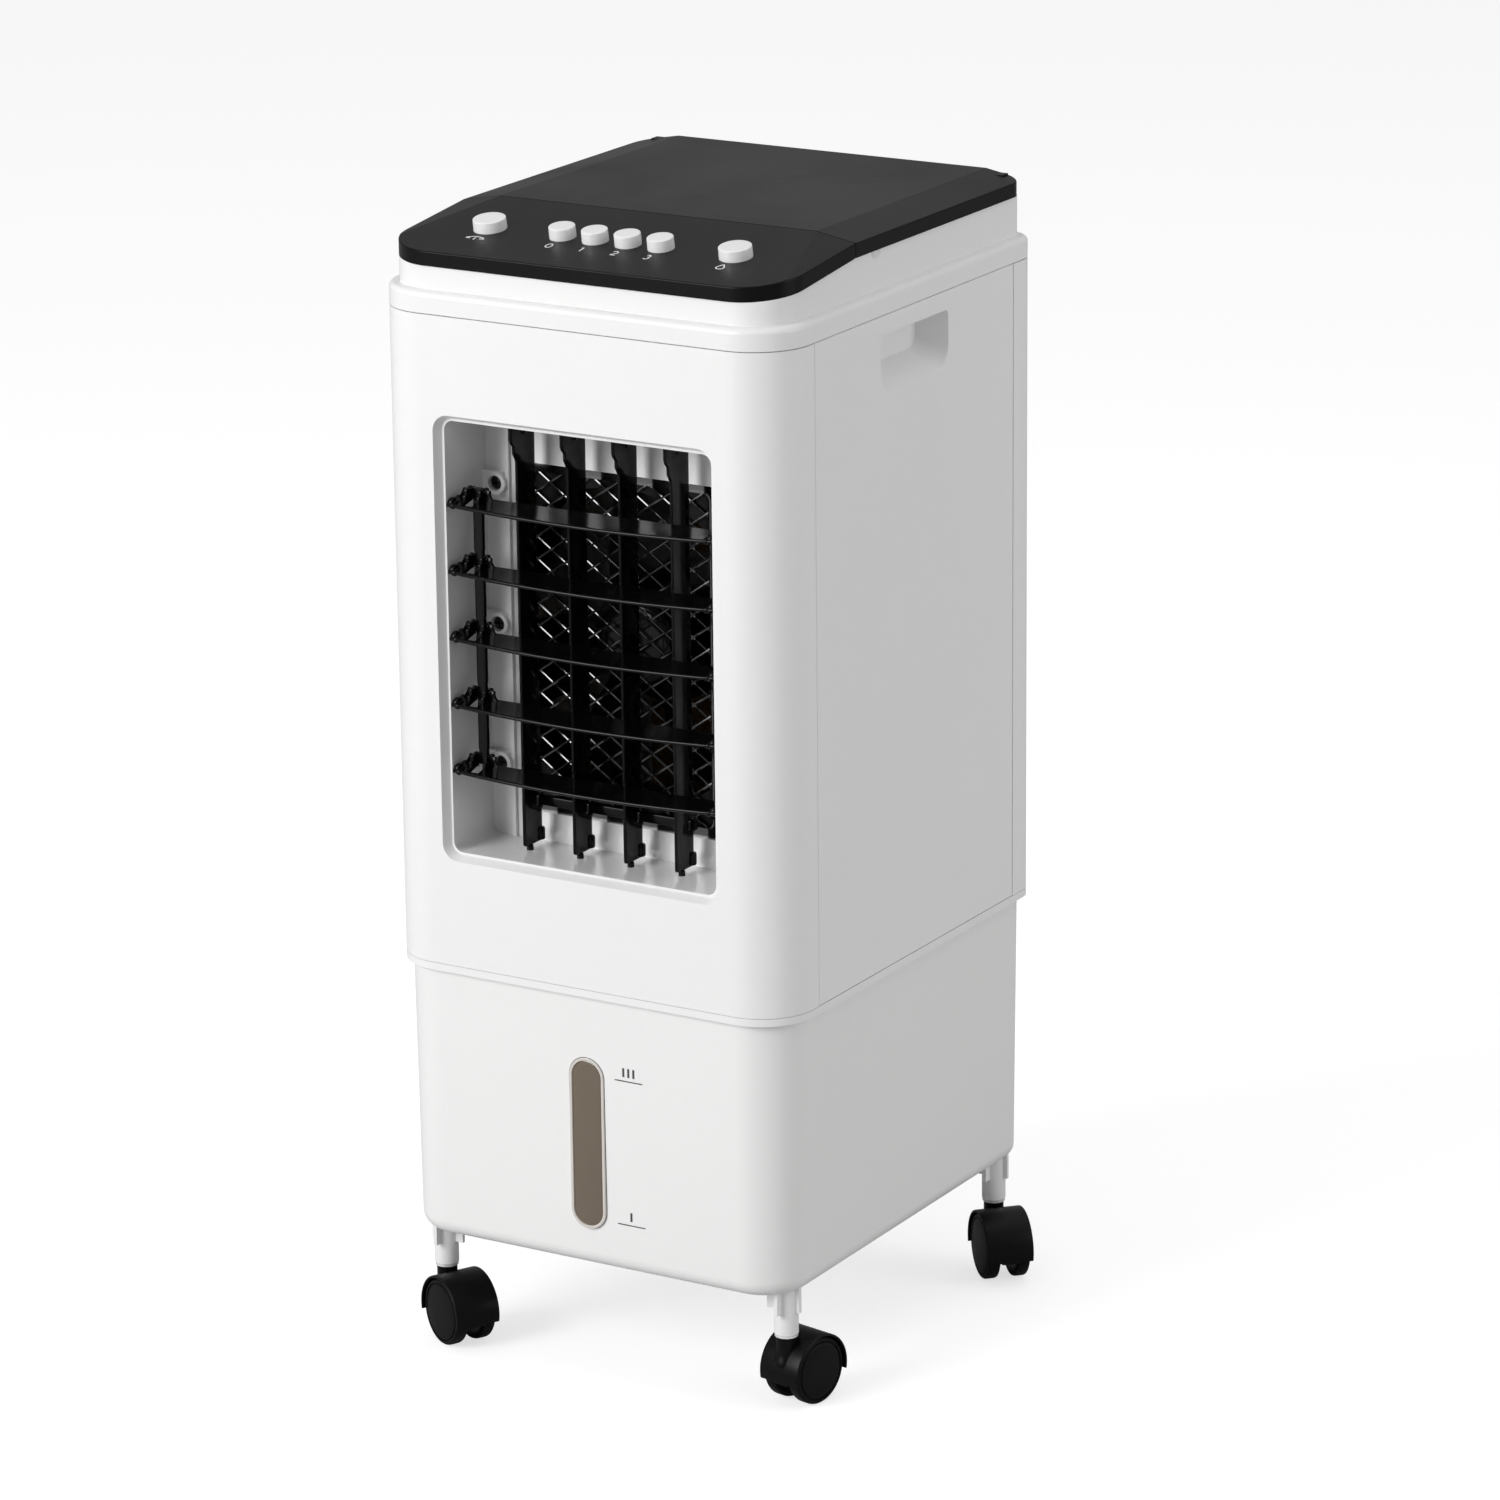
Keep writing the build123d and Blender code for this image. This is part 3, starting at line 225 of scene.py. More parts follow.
plastics = {
    "whiteShell": plasticLook(0.86, 0.002, rough=0.34, bump=0.05),
    "whiteGloss": plasticLook(0.84, rough=0.22, vary=0.04, coat=0.25, bump=0.02),
    "tankWhite": plasticLook(0.86, 0.004, rough=0.4, bump=0.05, patch=5.0),
    "keyWhite": plasticLook(0.9, rough=0.28, coat=0.15, bump=0.02),
    "charcoal": plasticLook(0.003, 0.01, rough=0.3, vary=0.04, spec=0.14, grain=2200.0, bump=0.1, dust=0.002,
                            fleckAmount=0.3, wear=0.2, edge=grey(0.012)),
    "glossBlack": plasticLook(0.002, rough=0.16, vary=0.04, spec=0.2, bump=0.02, dust=0.001, wear=0.2,
                              edge=grey(0.01)),
    "matteBlack": plasticLook(0.002, rough=0.34, spec=0.15, grain=1300.0, bump=0.08, dust=0.002, wear=0.4,
                              edge=grey(0.012)),
    "treadBlack": plasticLook(0.002, rough=0.4, vary=0.06, spec=0.12, grain=1200.0, bump=0.1, dust=0.003,
                              wear=0.4, edge=grey(0.016)),
    "wireGloss": plasticLook(0.004, rough=0.12, vary=0.03, spec=0.9, coat=1.0, bump=0.01, dust=0.0, wear=0.1,
                             edge=grey(0.02)),
    "hoseGrey": plasticLook(0.5, 0.02, rough=0.3, bump=0.03),
    "smokedClear": plasticLook(0.14, 0.28, rough=0.16, vary=0.03, coat=0.4, bump=0.02,
                               shade=(0.12, 0.092, 0.066, 1.0)),
    "windowTrim": plasticLook(0.62, 0.06, rough=0.12, vary=0.03, coat=0.6, bump=0.01),
    "inkWhite": plasticLook(0.8, rough=0.5, bump=0.02),
    # dark ink for the tank's print, also used as painted shade in the gap round the window
    "inkDarkAndShade": plasticLook(0.05, rough=0.5, bump=0.02),
}
finishes = {name: mouldedPlastic(name, look) for name, look in plastics.items()}


def platedSteel(name, look):
    made, tree, shader, coords = startMaterial(name, look)
    stretch = addNode(tree, "ShaderNodeMapping", (-1100, 0), Scale=look["stretch"], Vector=coords)
    streaks = noiseNode(tree, (-900, 0), stretch.outputs["Vector"], Scale=look["streaks"], Detail=4.0)
    patches = useGroup(tree, handling, (-1100, -300), Coords=coords, Scale=40.0, Low=look["rough"] - 0.06,
                       High=look["rough"] + 0.08)
    toned = mixColor(tree, (-500, 200), look["color"], look["shade"], streaks)
    feed(tree, shader.inputs["Base Color"], toned)
    feed(tree, shader.inputs["Roughness"], patches.outputs["Rough"])
    bumpNode(tree, shader, streaks, 0.1, 0.0001)
    return made


steels = {
    "stemSteel": {"color": (0.95, 0.95, 0.96, 1), "shade": (0.82, 0.82, 0.84, 1), "metal": 0.4, "rough": 0.2,
                  "stretch": (1, 1, 12), "streaks": 300.0},
    "motorSteel": {"color": (0.3, 0.3, 0.31, 1), "shade": (0.2, 0.2, 0.21, 1), "metal": 0.8, "rough": 0.42,
                   "stretch": (1, 8, 1), "streaks": 160.0},
    "screwBlack": {"color": (0.03, 0.03, 0.032, 1), "shade": (0.015, 0.015, 0.016, 1), "metal": 0.7,
                   "rough": 0.35, "stretch": (1, 1, 1), "streaks": 500.0},
}
finishes.update({name: platedSteel(name, look) for name, look in steels.items()})


def celluloseSheet(name, look):
    made, tree, shader, coords = startMaterial(name, look)
    fibres = noiseNode(tree, (-900, 200), coords, Scale=look["fibre"], Detail=6.0, Roughness=0.7)
    stains = noiseNode(tree, (-900, -100), coords, Scale=look["stain"], Detail=3.0)
    base = mixColor(tree, (-600, 200), look["color"], look["shade"], fibres)
    damp = mathNode(tree, "MULTIPLY", (-600, -100), stains, 0.5)
    feed(tree, shader.inputs["Base Color"], mixColor(tree, (-400, 200), base, look["damp"], damp))
    bumpNode(tree, shader, fibres, 0.5, 0.0004)
    return made


finishes["padBrown"] = celluloseSheet("padBrown", {
    "color": (0.78, 0.5, 0.26, 1), "shade": (0.55, 0.32, 0.14, 1), "damp": (0.36, 0.2, 0.09, 1),
    "fibre": 700.0, "stain": 22.0, "rough": 0.85})


def wovenMesh(name, look):
    # two crossed waves give threads; their product is the height
    made, tree, shader, coords = startMaterial(name, look)
    waves = []
    for direction, y in (("X", 200), ("Z", -200)):
        wave = addNode(tree, "ShaderNodeTexWave", (-900, y), {"bands_direction": direction},
                       Scale=look["threads"], Vector=coords)
        waves.append(wave.outputs["Fac"])
    weave = mathNode(tree, "MULTIPLY", (-600, 0), waves[0], waves[1])
    feed(tree, shader.inputs["Base Color"], mixColor(tree, (-400, 200), look["color"], look["shade"], weave))
    bumpNode(tree, shader, weave, 0.6, 0.0004)
    return made


finishes["filterMesh"] = wovenMesh("filterMesh", {
    "color": (0.03, 0.03, 0.032, 1), "shade": (0.11, 0.11, 0.115, 1), "rough": 0.6, "threads": 320.0})
print("materials made")

nodeFinish = {
    "whiteShell": ("front_cover", "side_panel_left", "side_panel_right", "rear_frame", "rear_grille",
                   "base_frame", "top_frame", "water_tray"),
    "whiteGloss": ("air_duct",),
    "tankWhite": ("water_tank",),
    "keyWhite": ("button_swing", "button_off", "button_low", "button_mid", "button_high", "button_cool"),
    "charcoal": ("control_panel", "top_lid"),
    "matteBlack": ("fan_shroud", "fan_bracket", "swing_crank", "cord_gland", "switch_block", "water_pump"),
    "motorSteel": ("fan_motor", "swing_motor"),
    "screwBlack": ("duct_screws", "rear_screws"),
    "stemSteel": ("lid_hinge_pins", "caster_stems"),
    "padBrown": ("cooling_pad",),
    "filterMesh": ("dust_filter",),
    "hoseGrey": ("pump_hose",),
    "smokedClear": ("level_window",),
}
finishOf = {node: finish for finish, names in nodeFinish.items() for node in names}
for name, node in frame["nodes"].items():
    fallback = "matteBlack" if name.startswith("caster") else "glossBlack"
    node.data.materials.clear()
    node.data.materials.append(finishes[finishOf.get(name, fallback)])
print("frame parts finished")


def skin(rings):
    # a closed skin through closed rings of points, with a fan on the middle of each end ring
    count, around = rings.shape[:2]
    index = np.arange(count * around).reshape(count, around)
    nextOne = np.roll(index, -1, axis=1)
    quads = np.stack([index[:-1], nextOne[:-1], nextOne[1:], index[1:]], axis=-1).reshape(-1, 4)
    points = np.vstack([rings.reshape(-1, 3), rings[0].mean(axis=0), rings[-1].mean(axis=0)])
    low, high = count * around, count * around + 1
    bottom = np.stack([np.full(around, low), nextOne[0], index[0]], axis=-1)
    top = np.stack([np.full(around, high), index[-1], nextOne[-1]], axis=-1)
    return points, quads.tolist() + bottom.tolist() + top.tolist()


def loop(rings):
    # the same, closed on itself instead of capped
    count, around = rings.shape[:2]
    index = np.arange(count * around).reshape(count, around)
    nextOne, after = np.roll(index, -1, axis=1), np.roll(index, -1, axis=0)
    quads = np.stack([index, nextOne, np.roll(nextOne, -1, axis=0), after], axis=-1).reshape(-1, 4)
    return rings.reshape(-1, 3), quads.tolist()


def volumeOf(points, faces):
    # six times the volume under each face's fan of triangles, added up
    total = 0.0
    for face in faces:
        first = points[face[0]]
        for one, two in zip(face[1:-1], face[2:]):
            total += float(np.dot(first, np.cross(points[one], points[two])))
    return total


def makePiece(name, parts, finish, body, nodes=(), sharp=38.0):
    # parts are closed skins in millimetres; each is turned so that its normals point outwards
    points, faces, used = [], [], 0
    for partPoints, partFaces in parts:
        if volumeOf(partPoints, partFaces) < 0:
            partFaces = [face[::-1] for face in partFaces]
        points.append(partPoints)
        faces += [[corner + used for corner in face] for face in partFaces]
        used += len(partPoints)
    mesh = bpy.data.meshes.new(name)
    mesh.from_pydata((np.vstack(points) * mm).tolist(), [], faces)
    mesh.polygons.foreach_set("use_smooth", np.ones(len(mesh.polygons), dtype=bool))
    mesh.set_sharp_from_angle(angle=math.radians(sharp))
    mesh.materials.append(finishes[finish])
    made = bpy.data.objects.new(name, mesh)
    bpy.context.collection.objects.link(made)
    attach(made, body)
    if nodes:
        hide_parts(*nodes)
    return made


def basis(axis, hint=(0.0, 0.0, 1.0)):
    # three unit vectors: two across the axis, and the axis itself
    axis = np.asarray(axis, float) / np.linalg.norm(axis)
    across = np.cross(hint, axis)
    if np.linalg.norm(across) < 1e-6:
        across = np.cross((0.0, 1.0, 0.0), axis)
    across /= np.linalg.norm(across)
    return across, np.cross(axis, across), axis


def lathe(profile, origin, axis, around=64):
    # profile rows are distance along the axis and radius, turned about it
    profile = np.asarray(profile, float)
    u, v, w = basis(axis)
    turn = np.linspace(0, 2 * math.pi, around, endpoint=False)
    circle = np.cos(turn)[:, None] * u + np.sin(turn)[:, None] * v
    rings = np.asarray(origin) + profile[:, :1, None] * w + profile[:, 1:, None] * circle
    return skin(rings)


def rod(start, end, radius, around=12, tip=0.4):
    # a straight round bar whose ends are eased by tip times its radius
    start, end = np.asarray(start, float), np.asarray(end, float)
    length, ease = np.linalg.norm(end - start), radius * tip
    profile = [(0, radius - ease), (ease * 0.3, radius - ease * 0.3), (ease, radius), (length - ease, radius),
               (length - ease * 0.3, radius - ease * 0.3), (length, radius - ease)]
    return lathe(profile, start, end - start, around)


def pillow(middle, size, radius, rows=9, around=24):
    # a ball pulled apart at its middle: corner of the core plus radius times the ball's normal
    tilt = np.linspace(-math.pi / 2 + 0.03, math.pi / 2 - 0.03, 2 * (rows // 2))[:, None]
    turn = (np.arange(around) + 0.5)[None, :] * 2 * math.pi / around
    flat = np.cos(tilt)
    normal = np.stack([flat * np.cos(turn), flat * np.sin(turn), np.sin(tilt) + 0 * turn], axis=-1)
    core = np.asarray(size, float) / 2 - radius
    return skin(np.asarray(middle, float) + np.sign(normal) * core + radius * normal)


def stadium(half, front, back, arc=5):
    # a long section, half thick, from front to back, with round ends; columns are across and along
    turn = np.linspace(0, math.pi, arc)
    nose = np.stack([half * np.cos(turn), front + half - half * np.sin(turn)], axis=-1)
    tail = np.stack([-half * np.cos(turn), back - half + half * np.sin(turn)], axis=-1)
    return np.vstack([nose, tail])


louvreLook = {"thick": 1.6, "bead": 1.05, "front": 2.6, "bow": 4.6, "rear": 8.0, "slotRear": 2.2,
              "tilt": 14.0, "knob": 3.0, "endGap": 0.5, "linkX": -66.0, "slot": 3.1, "ear": 2.0,
              "pinBack": 8.2, "pinUp": 4.6, "pin": 1.25, "pinHalf": 5.1, "stations": 90}


def louvreBlade(half, middle):
    # across x: a plate whose front edge bows forward by a parabola and ends in a round bead
    look = louvreLook
    gap = look["slot"] + look["ear"]
    step = 0.02
    x = np.linspace(-half, half, look["stations"])
    edges = np.array([-look["slot"] - step, -look["slot"], look["slot"], look["slot"] + step]) + look["linkX"]
    x = np.sort(np.concatenate([x, edges]))
    reach = look["front"] + look["bow"] * (1 - (x / half) ** 2)
    inSlot = np.abs(x - look["linkX"]) <= look["slot"] + step / 2
    back = np.where(inSlot, -look["slotRear"], look["rear"])
    flat = 0 * reach[:, None]
    halfThick = look["thick"] / 2
    turn = np.linspace(-2.2, 2.2, 11)
    nose = np.stack([reach[:, None] + look["bead"] * np.cos(turn), look["bead"] * np.sin(turn) + flat], -1)
    turn = np.linspace(math.pi / 2, 3 * math.pi / 2, 7)
    tail = np.stack([halfThick * (1 + np.cos(turn)) - back[:, None], halfThick * np.sin(turn) + flat], -1)
    rib = np.concatenate([nose, tail], axis=1)
    rings = np.stack([x[:, None] + 0 * rib[..., 0], -rib[..., 0], rib[..., 1]], axis=-1)
    parts = [skin(rings)]
    for side in (-1, 1):
        parts.append(rod((side * (half - 3.2), 0, 0), (side * half, 0, 0), look["knob"], 28))
        parts.append(rod((side * (half - 0.5), 0, 0), (side * (half + 1.8), 0, 0), 1.8, 20))
        parts.append(pillow((side * (half - 3.6), -1.5, 0), (3.0, 6.2, 3.0), 1.1))
    tilt = math.radians(look["tilt"])
    lean = np.array([[1, 0, 0], [0, math.cos(tilt), -math.sin(tilt)], [0, math.sin(tilt), math.cos(tilt)]])
    turned = [(points @ lean.T, faces) for points, faces in parts]
    # the wall along the rear edge swells towards the link: a smooth step up and down
    rear = look["rear"] * math.cos(tilt)
    base = look["rear"] * math.sin(tilt)
    for side in (-1, 1):
        inner, outer = look["linkX"] + side * (gap - 0.2), look["linkX"] + side * (gap + 5.2)
        along = np.linspace(0, 1, 30)
        fall = np.clip((1 - along) / 0.55, 0, 1)
        height = base + 0.4 + 4.4 * fall ** 2 * (3 - 2 * fall)
        section = stadium(0.8, 0, 1, 5)
        wall = np.stack([np.repeat((inner + (outer - inner) * along)[:, None], len(section), 1),
                         rear - 1.6 + np.repeat(section[None, :, 0], len(along), 0),
                         base - 0.7 + section[None, :, 1] * (height - base + 0.7)[:, None]], axis=-1)
        turned.append(skin(wall))
        ear = look["linkX"] + side * (look["slot"] + look["ear"] / 2)
        turned.append(pillow((ear, look["pinBack"] - 1.6, look["pinUp"] - 0.2), (look["ear"], 8.4, 5.8), 0.7))
        turned.append(pillow((ear, rear - 3.2, 2.3), (look["ear"], 7.6, 4.0), 0.6))
        hump = look["linkX"] + side * (gap + 1.2)
        turned.append(pillow((hump, rear - 0.9, base + 2.2), (4.0, 1.7, 5.6), 0.7))
        back, up = look["pinBack"], look["pinUp"]
        turned.append(pillow((ear + side * 0.7, back - 0.4, up + 2.6), (1.8, 2.2, 1.5), 0.6))
        turned.append(pillow((ear + side * 1.6, back - 2.6, up + 1.4), (1.5, 1.8, 1.5), 0.6))
    return [(points + np.asarray(middle), faces) for points, faces in turned]


def nodeBox(name):
    return np.asarray(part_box(name), float) / mm


def jointPlace(name):
    return np.asarray(joints[name]["pos_m"], float) / mm


duct = nodeBox("air_duct")
bladeHalf = nodeBox("louvre_3")[1][0] - 2.0 - louvreLook["endGap"]
for number in range(1, 6):
    middle = jointPlace(f"louvre_tilt_{number}")
    blade = louvreBlade(bladeHalf, (0, middle[1], middle[2]))
    makePiece(f"louvre{number}", blade, "glossBlack", f"louvre_blade_{number}", [f"louvre_{number}"])


def squarish(count=20):
    # a circle's points with cosine and sine raised to a small power, which squares it
    turn = np.linspace(0, 2 * math.pi, count, endpoint=False)
    cross = np.stack([np.cos(turn), np.sin(turn)], -1)
    return np.sign(cross) * np.abs(cross) ** 0.35


def linkBar():
    # a flat bar with a small neck at every cross pin
    look, box = louvreLook, nodeBox("louvre_link")
    middle = jointPlace("louvre_bar_pivot")
    z = np.linspace(box[0][2], box[1][2], 120)
    pins = np.array([jointPlace(f"louvre_tilt_{n}")[2] + look["pinUp"] for n in range(1, 6)])
    near = np.abs(z[:, None] - pins).min(axis=1)
    wide = 2.8 - 0.35 * np.exp(-((near - 4.0) / 1.2) ** 2)
    square = squarish()
    level = z[:, None] + 0 * square[:, 0]
    across = look["linkX"] + wide[:, None] * square[:, 0]
    rings = np.stack([across, middle[1] + 1.5 * square[:, 1] + 0 * level, level], axis=-1)
    parts = [skin(rings)]
    for pin in pins:
        left, right = look["linkX"] - look["pinHalf"], look["linkX"] + look["pinHalf"]
        parts.append(rod((left, middle[1], pin), (right, middle[1], pin), look["pin"]))
    return parts


makePiece("louvreBar", linkBar(), "glossBlack", "louvre_bar", ["louvre_link"])

vaneLook = {"thick": 1.8, "front": -6.0, "back": 11.0, "head": 6.0, "headHigh": 16.0, "toe": 1.6,
            "notchBack": 6.3, "linkHigh": 5.4, "linkBack": 10.5, "pin": 1.25, "pivot": 1.8}


def vaneBlade(number):
    # up z: a long section whose front limit steps out at the head and curls back at the toe
    look = vaneLook
    pivot = jointPlace(f"vane_turn_{number}")
    floor, ceiling = duct[0][2] + 2.0, duct[1][2] - 2.0
    low, high = floor + 2.8, ceiling - 2.8
    linkLow = nodeBox("vane_link")[0][2]
    step = 0.02
    cuts = np.array([linkLow - 0.3, linkLow + look["linkHigh"] + 0.3])
    z = np.sort(np.concatenate([np.linspace(low, low + look["toe"], 9), cuts - step, cuts + step,
                                np.linspace(low + look["toe"] + 1, high, 110)]))
    rise = np.clip((low + look["toe"] - z) / look["toe"], 0, 1)
    front = look["front"] + look["toe"] * (1 - np.sqrt(1 - rise ** 2))
    step1 = 1 / (1 + np.exp(-(z - (high - look["headHigh"])) / 0.5))
    step2 = 1 / (1 + np.exp(-(z - (high - look["headHigh"] + 7.5)) / 0.5))
    front = front - look["head"] * (0.45 * step1 + 0.5 * step2)
    notched = (z > cuts[0]) & (z < cuts[1])
    back = np.where(notched, look["notchBack"], look["back"])
    section = stadium(look["thick"] / 2, 0.0, 1.0, 7)
    noseY = section[:, 1][None, :7] + front[:, None]
    tailY = section[:, 1][None, 7:] - 1 + back[:, None]
    rings = np.stack([section[:, 0] + 0 * z[:, None], np.concatenate([noseY, tailY], axis=1),
                      z[:, None] + 0 * section[:, 0]], axis=-1)
    parts = [skin(rings)]
    linkTop, rear = linkLow + look["linkHigh"], look["back"] - 1.2
    rods = ((look["linkBack"], linkLow - 2, linkTop + 2, look["pin"], 12),
            (rear, low, low + 7, 2.6, 20), (rear, linkTop + 0.4, linkTop + 5, 2.4, 20),
            (0, high - 5, high + 1, 2.4, 20), (0, floor - 2, low, look["pivot"], 16),
            (0, high, ceiling + 2, look["pivot"], 16))
    for y, start, end, radius, around in rods:
        parts.append(rod((0, y, start), (0, y, end), radius, around))
    parts.append(pillow((0, look["back"] - 0.6, low + 3.6), (3.6, 3.8, 4.2), 1.2))
    return [(points + np.array([pivot[0], pivot[1], 0.0]), faces) for points, faces in parts]


for number in range(1, 5):
    makePiece(f"vane{number}", vaneBlade(number), "glossBlack", f"vane_blade_{number}", [f"vane_{number}"])


def vaneBar():
    # a rounded bar that swells a little round every pin
    box, pins = nodeBox("vane_link"), [jointPlace(f"vane_turn_{n}")[0] for n in range(1, 5)]
    middle = box.mean(axis=0)
    x = np.linspace(box[0][0], box[1][0], 100)
    near = np.abs(x[:, None] - np.array(pins)).min(axis=1)
    deep = 1.9 + 0.4 * np.exp(-(near / 2.4) ** 2)
    square = squarish()
    rings = np.stack([x[:, None] + 0 * square[:, 0], middle[1] + deep[:, None] * square[:, 0],
                      middle[2] + 2.7 * square[:, 1] + 0 * x[:, None]], axis=-1)
    return [skin(rings)]


makePiece("vaneBar", vaneBar(), "glossBlack", "vane_bar", ["vane_link"])
print("louvres and vanes made")

guardLook = {"pitchX": 16.7, "pitchZ": 11.8, "wire": 0.72, "netHalf": (52.0, 87.5), "lift": 0.15,
             "corner": 4.0}


def fingerGuard():
    # straight round wires on two slants, and a flat frame with a raised lip round them
    look, box = guardLook, nodeBox("finger_guard")
    middle = box.mean(axis=0)
    halfX, halfZ = look["netHalf"]
    parts = []
    for slant in (-1, 1):
        for offset in np.arange(-41, 42, 2):
            # the wire is the line x / pitchX + slant * z / pitchZ = offset / 2, cut to the net
            x = np.array([-halfX, halfX])
            z = slant * (offset / 2 - x / look["pitchX"]) * look["pitchZ"]
            span = np.clip((np.array([-halfZ, halfZ]) - z[0]) / (z[1] - z[0]), 0, 1)
            low, high = min(span), max(span)
            if high - low < 0.01:
                continue
            ends = [middle + (x[0] + t * (x[1] - x[0]), slant * look["lift"], z[0] + t * (z[1] - z[0]))
                    for t in (low, high)]
            parts.append(rod(*ends, look["wire"], 8, 0.1))
    turn = np.linspace(0, 2 * math.pi, 96, endpoint=False) + math.pi / 96
    cross = np.stack([np.cos(turn), np.sin(turn)], -1)
    rings = []
    lip = ((0.0, 0.4), (0.0, 2.2), (0.4, 2.5), (1.0, 1.0), (1.0, 0.0), (0.85, 0.0), (0.12, 0.0), (0.03, 0.0))
    for grow, y in lip:
        halfWide = halfX + grow * (box[1][0] - middle[0] - halfX)
        halfTall = halfZ + grow * (box[1][2] - middle[2] - halfZ)
        core = np.array([halfWide, halfTall]) - look["corner"]
        flat = np.sign(cross) * core + look["corner"] * cross
        level = box[0][1] + y + 0 * turn
        rings.append(np.stack([middle[0] + flat[:, 0], level, middle[2] + flat[:, 1]], -1))
    parts.append(loop(np.stack(rings, axis=1)))
    return parts


makePiece("guardNet", fingerGuard(), "wireGloss", "casing", ["finger_guard"])

keyLook = {"flange": 1.5, "flangeLow": 4.2, "edge": 0.45, "draft": 0.12, "rise": {"swing": 5.7, "cool": 5.7},
           "riseSmall": 6.0}


def keyFrame(name):
    # the key's middle on the panel's face, its outward normal and its radius, from the node's box
    look, box = keyLook, nodeBox("button_" + name)
    normal = -np.asarray(joints["press_" + name]["axis"], float)
    radius = (box[1][0] - box[0][0]) / 2 - look["flange"]
    rise = look["rise"].get(name, look["riseSmall"])
    lean, upright = -normal[1], normal[2]
    y = box[1][1] - (radius + look["flange"]) * upright - look["flangeLow"] * lean
    z = box[1][2] - radius * lean - rise * upright
    return np.array([(box[0][0] + box[1][0]) / 2, y, z]), normal, radius, rise


def keyBody(name):
    # a flat top with a small rolled edge, slightly tapered sides and a flange under the panel
    look = keyLook
    middle, normal, radius, rise = keyFrame(name)
    edge = look["edge"]
    turn = np.linspace(0, math.pi / 2, 6)
    inset = look["draft"] + edge
    rim = np.stack([rise - edge + edge * np.sin(turn), radius - inset + edge * np.cos(turn)], -1)
    brim = radius + look["flange"]
    foot = np.array([(-look["flangeLow"], brim), (-2.8, brim), (-2.8, radius), (0.0, radius)])
    crown = np.array([(rise + 0.02, (radius - edge) * 0.7), (rise + 0.03, (radius - edge) * 0.3)])
    return [lathe(np.vstack([foot, rim, crown]), middle, normal, 72)]


for name in ("swing", "off", "low", "mid", "high", "cool"):
    makePiece("key." + name, keyBody(name), "keyWhite", "key_" + name, ["button_" + name])


def ribbon(path, width, origin, right, up, normal, thick=0.12):
    # a thin flat strip along a path in a plane; its ends are cut square
    path = np.asarray(path, float)
    way = np.gradient(path, axis=0)
    way /= np.linalg.norm(way, axis=1)[:, None]
    side = np.stack([-way[:, 1], way[:, 0]], -1) * width / 2
    left, other = [origin + flat[:, :1] * right + flat[:, 1:] * up for flat in (path + side, path - side)]
    lift = thick * np.asarray(normal)
    return skin(np.stack([left, left + lift, other + lift, other], axis=1))


def arc(middle, radius, start, end, squash=1.0, count=24):
    turn = np.radians(np.linspace(start, end, count))
    return np.stack([middle[0] + radius * np.cos(turn), middle[1] + radius * squash * np.sin(turn)], -1)


digitPaths = {
    "0": [arc((0, 0), 0.9, 0, 359, 1.5)],
    "1": [[(-0.5, 0.9), (0, 1.35)], [(0, 1.35), (0, -1.35)]],
    "2": [np.vstack([arc((0, 0.55), 0.8, 160, -40), [(-0.8, -1.3)]]), [(-0.8, -1.3), (0.9, -1.3)]],
    "3": [arc((-0.1, 0.65), 0.72, 140, -85), arc((-0.1, -0.65), 0.8, 85, -140)],
    "arrows": [arc((0, 0), 2.4, 25, 155, 0.6), [(-2.9, 0.1), (-2.1, 1.1)], [(-2.9, 0.1), (-1.5, 0.0)],
               [(2.9, 0.1), (2.1, 1.1)], [(2.9, 0.1), (1.5, 0.0)], [(0, -0.9), (0, 0.7)]],
    "drop": [np.vstack([[(0, 1.9)], arc((0, -0.4), 1.15, 40, -220), [(0, 1.9)]])],
}
inkLook = {"below": 6.4, "lift": 0.02, "scale": 1.8, "line": 0.7}
panelMarks = {"off": "0", "low": "1", "mid": "2", "high": "3", "swing": "arrows", "cool": "drop"}


def panelInk():
    parts = []
    for name, mark in panelMarks.items():
        middle, normal, radius, _ = keyFrame(name)
        right = np.array([1.0, 0.0, 0.0])
        up = np.cross(normal, right)
        origin = middle - up * (radius + inkLook["below"]) + normal * inkLook["lift"]
        for path in digitPaths[mark]:
            path = np.asarray(path) * inkLook["scale"]
            parts.append(ribbon(path, inkLook["line"], origin, right, up, normal))
    return parts


makePiece("panelMarks", panelInk(), "inkWhite", "casing")

tankMarks = {"high": 170.0, "low": 91.3, "from": 17.0, "to": 33.5, "bars": {"high": 3, "low": 1},
             "draft": 0.55}


def tankInk():
    # a short line at each level, with bars above it that count the fill
    right, up, normal = np.array([1.0, 0, 0]), np.array([0, 0, 1.0]), np.array([0, -1.0, 0])
    tank = nodeBox("water_tank")
    parts = []
    for level in ("high", "low"):
        z = tankMarks[level]
        lean = (tank[1][2] - z) * math.tan(math.radians(tankMarks["draft"]))
        origin = np.array([0, tank[0][1] + lean - 0.02, z])
        parts.append(ribbon([(tankMarks["from"], 0), (tankMarks["to"], 0)], 0.55, origin, right, up, normal))
        for bar in range(tankMarks["bars"][level]):
            x = tankMarks["from"] + 8.2 + 3.0 * (bar - (tankMarks["bars"][level] - 1) / 2)
            parts.append(ribbon([(x, 2.2), (x, 7.0)], 1.2, origin, right, up, normal))
    return parts


makePiece("tankMarks", tankInk(), "inkDarkAndShade", "casing")

windowLook = {"rim": 1.7}


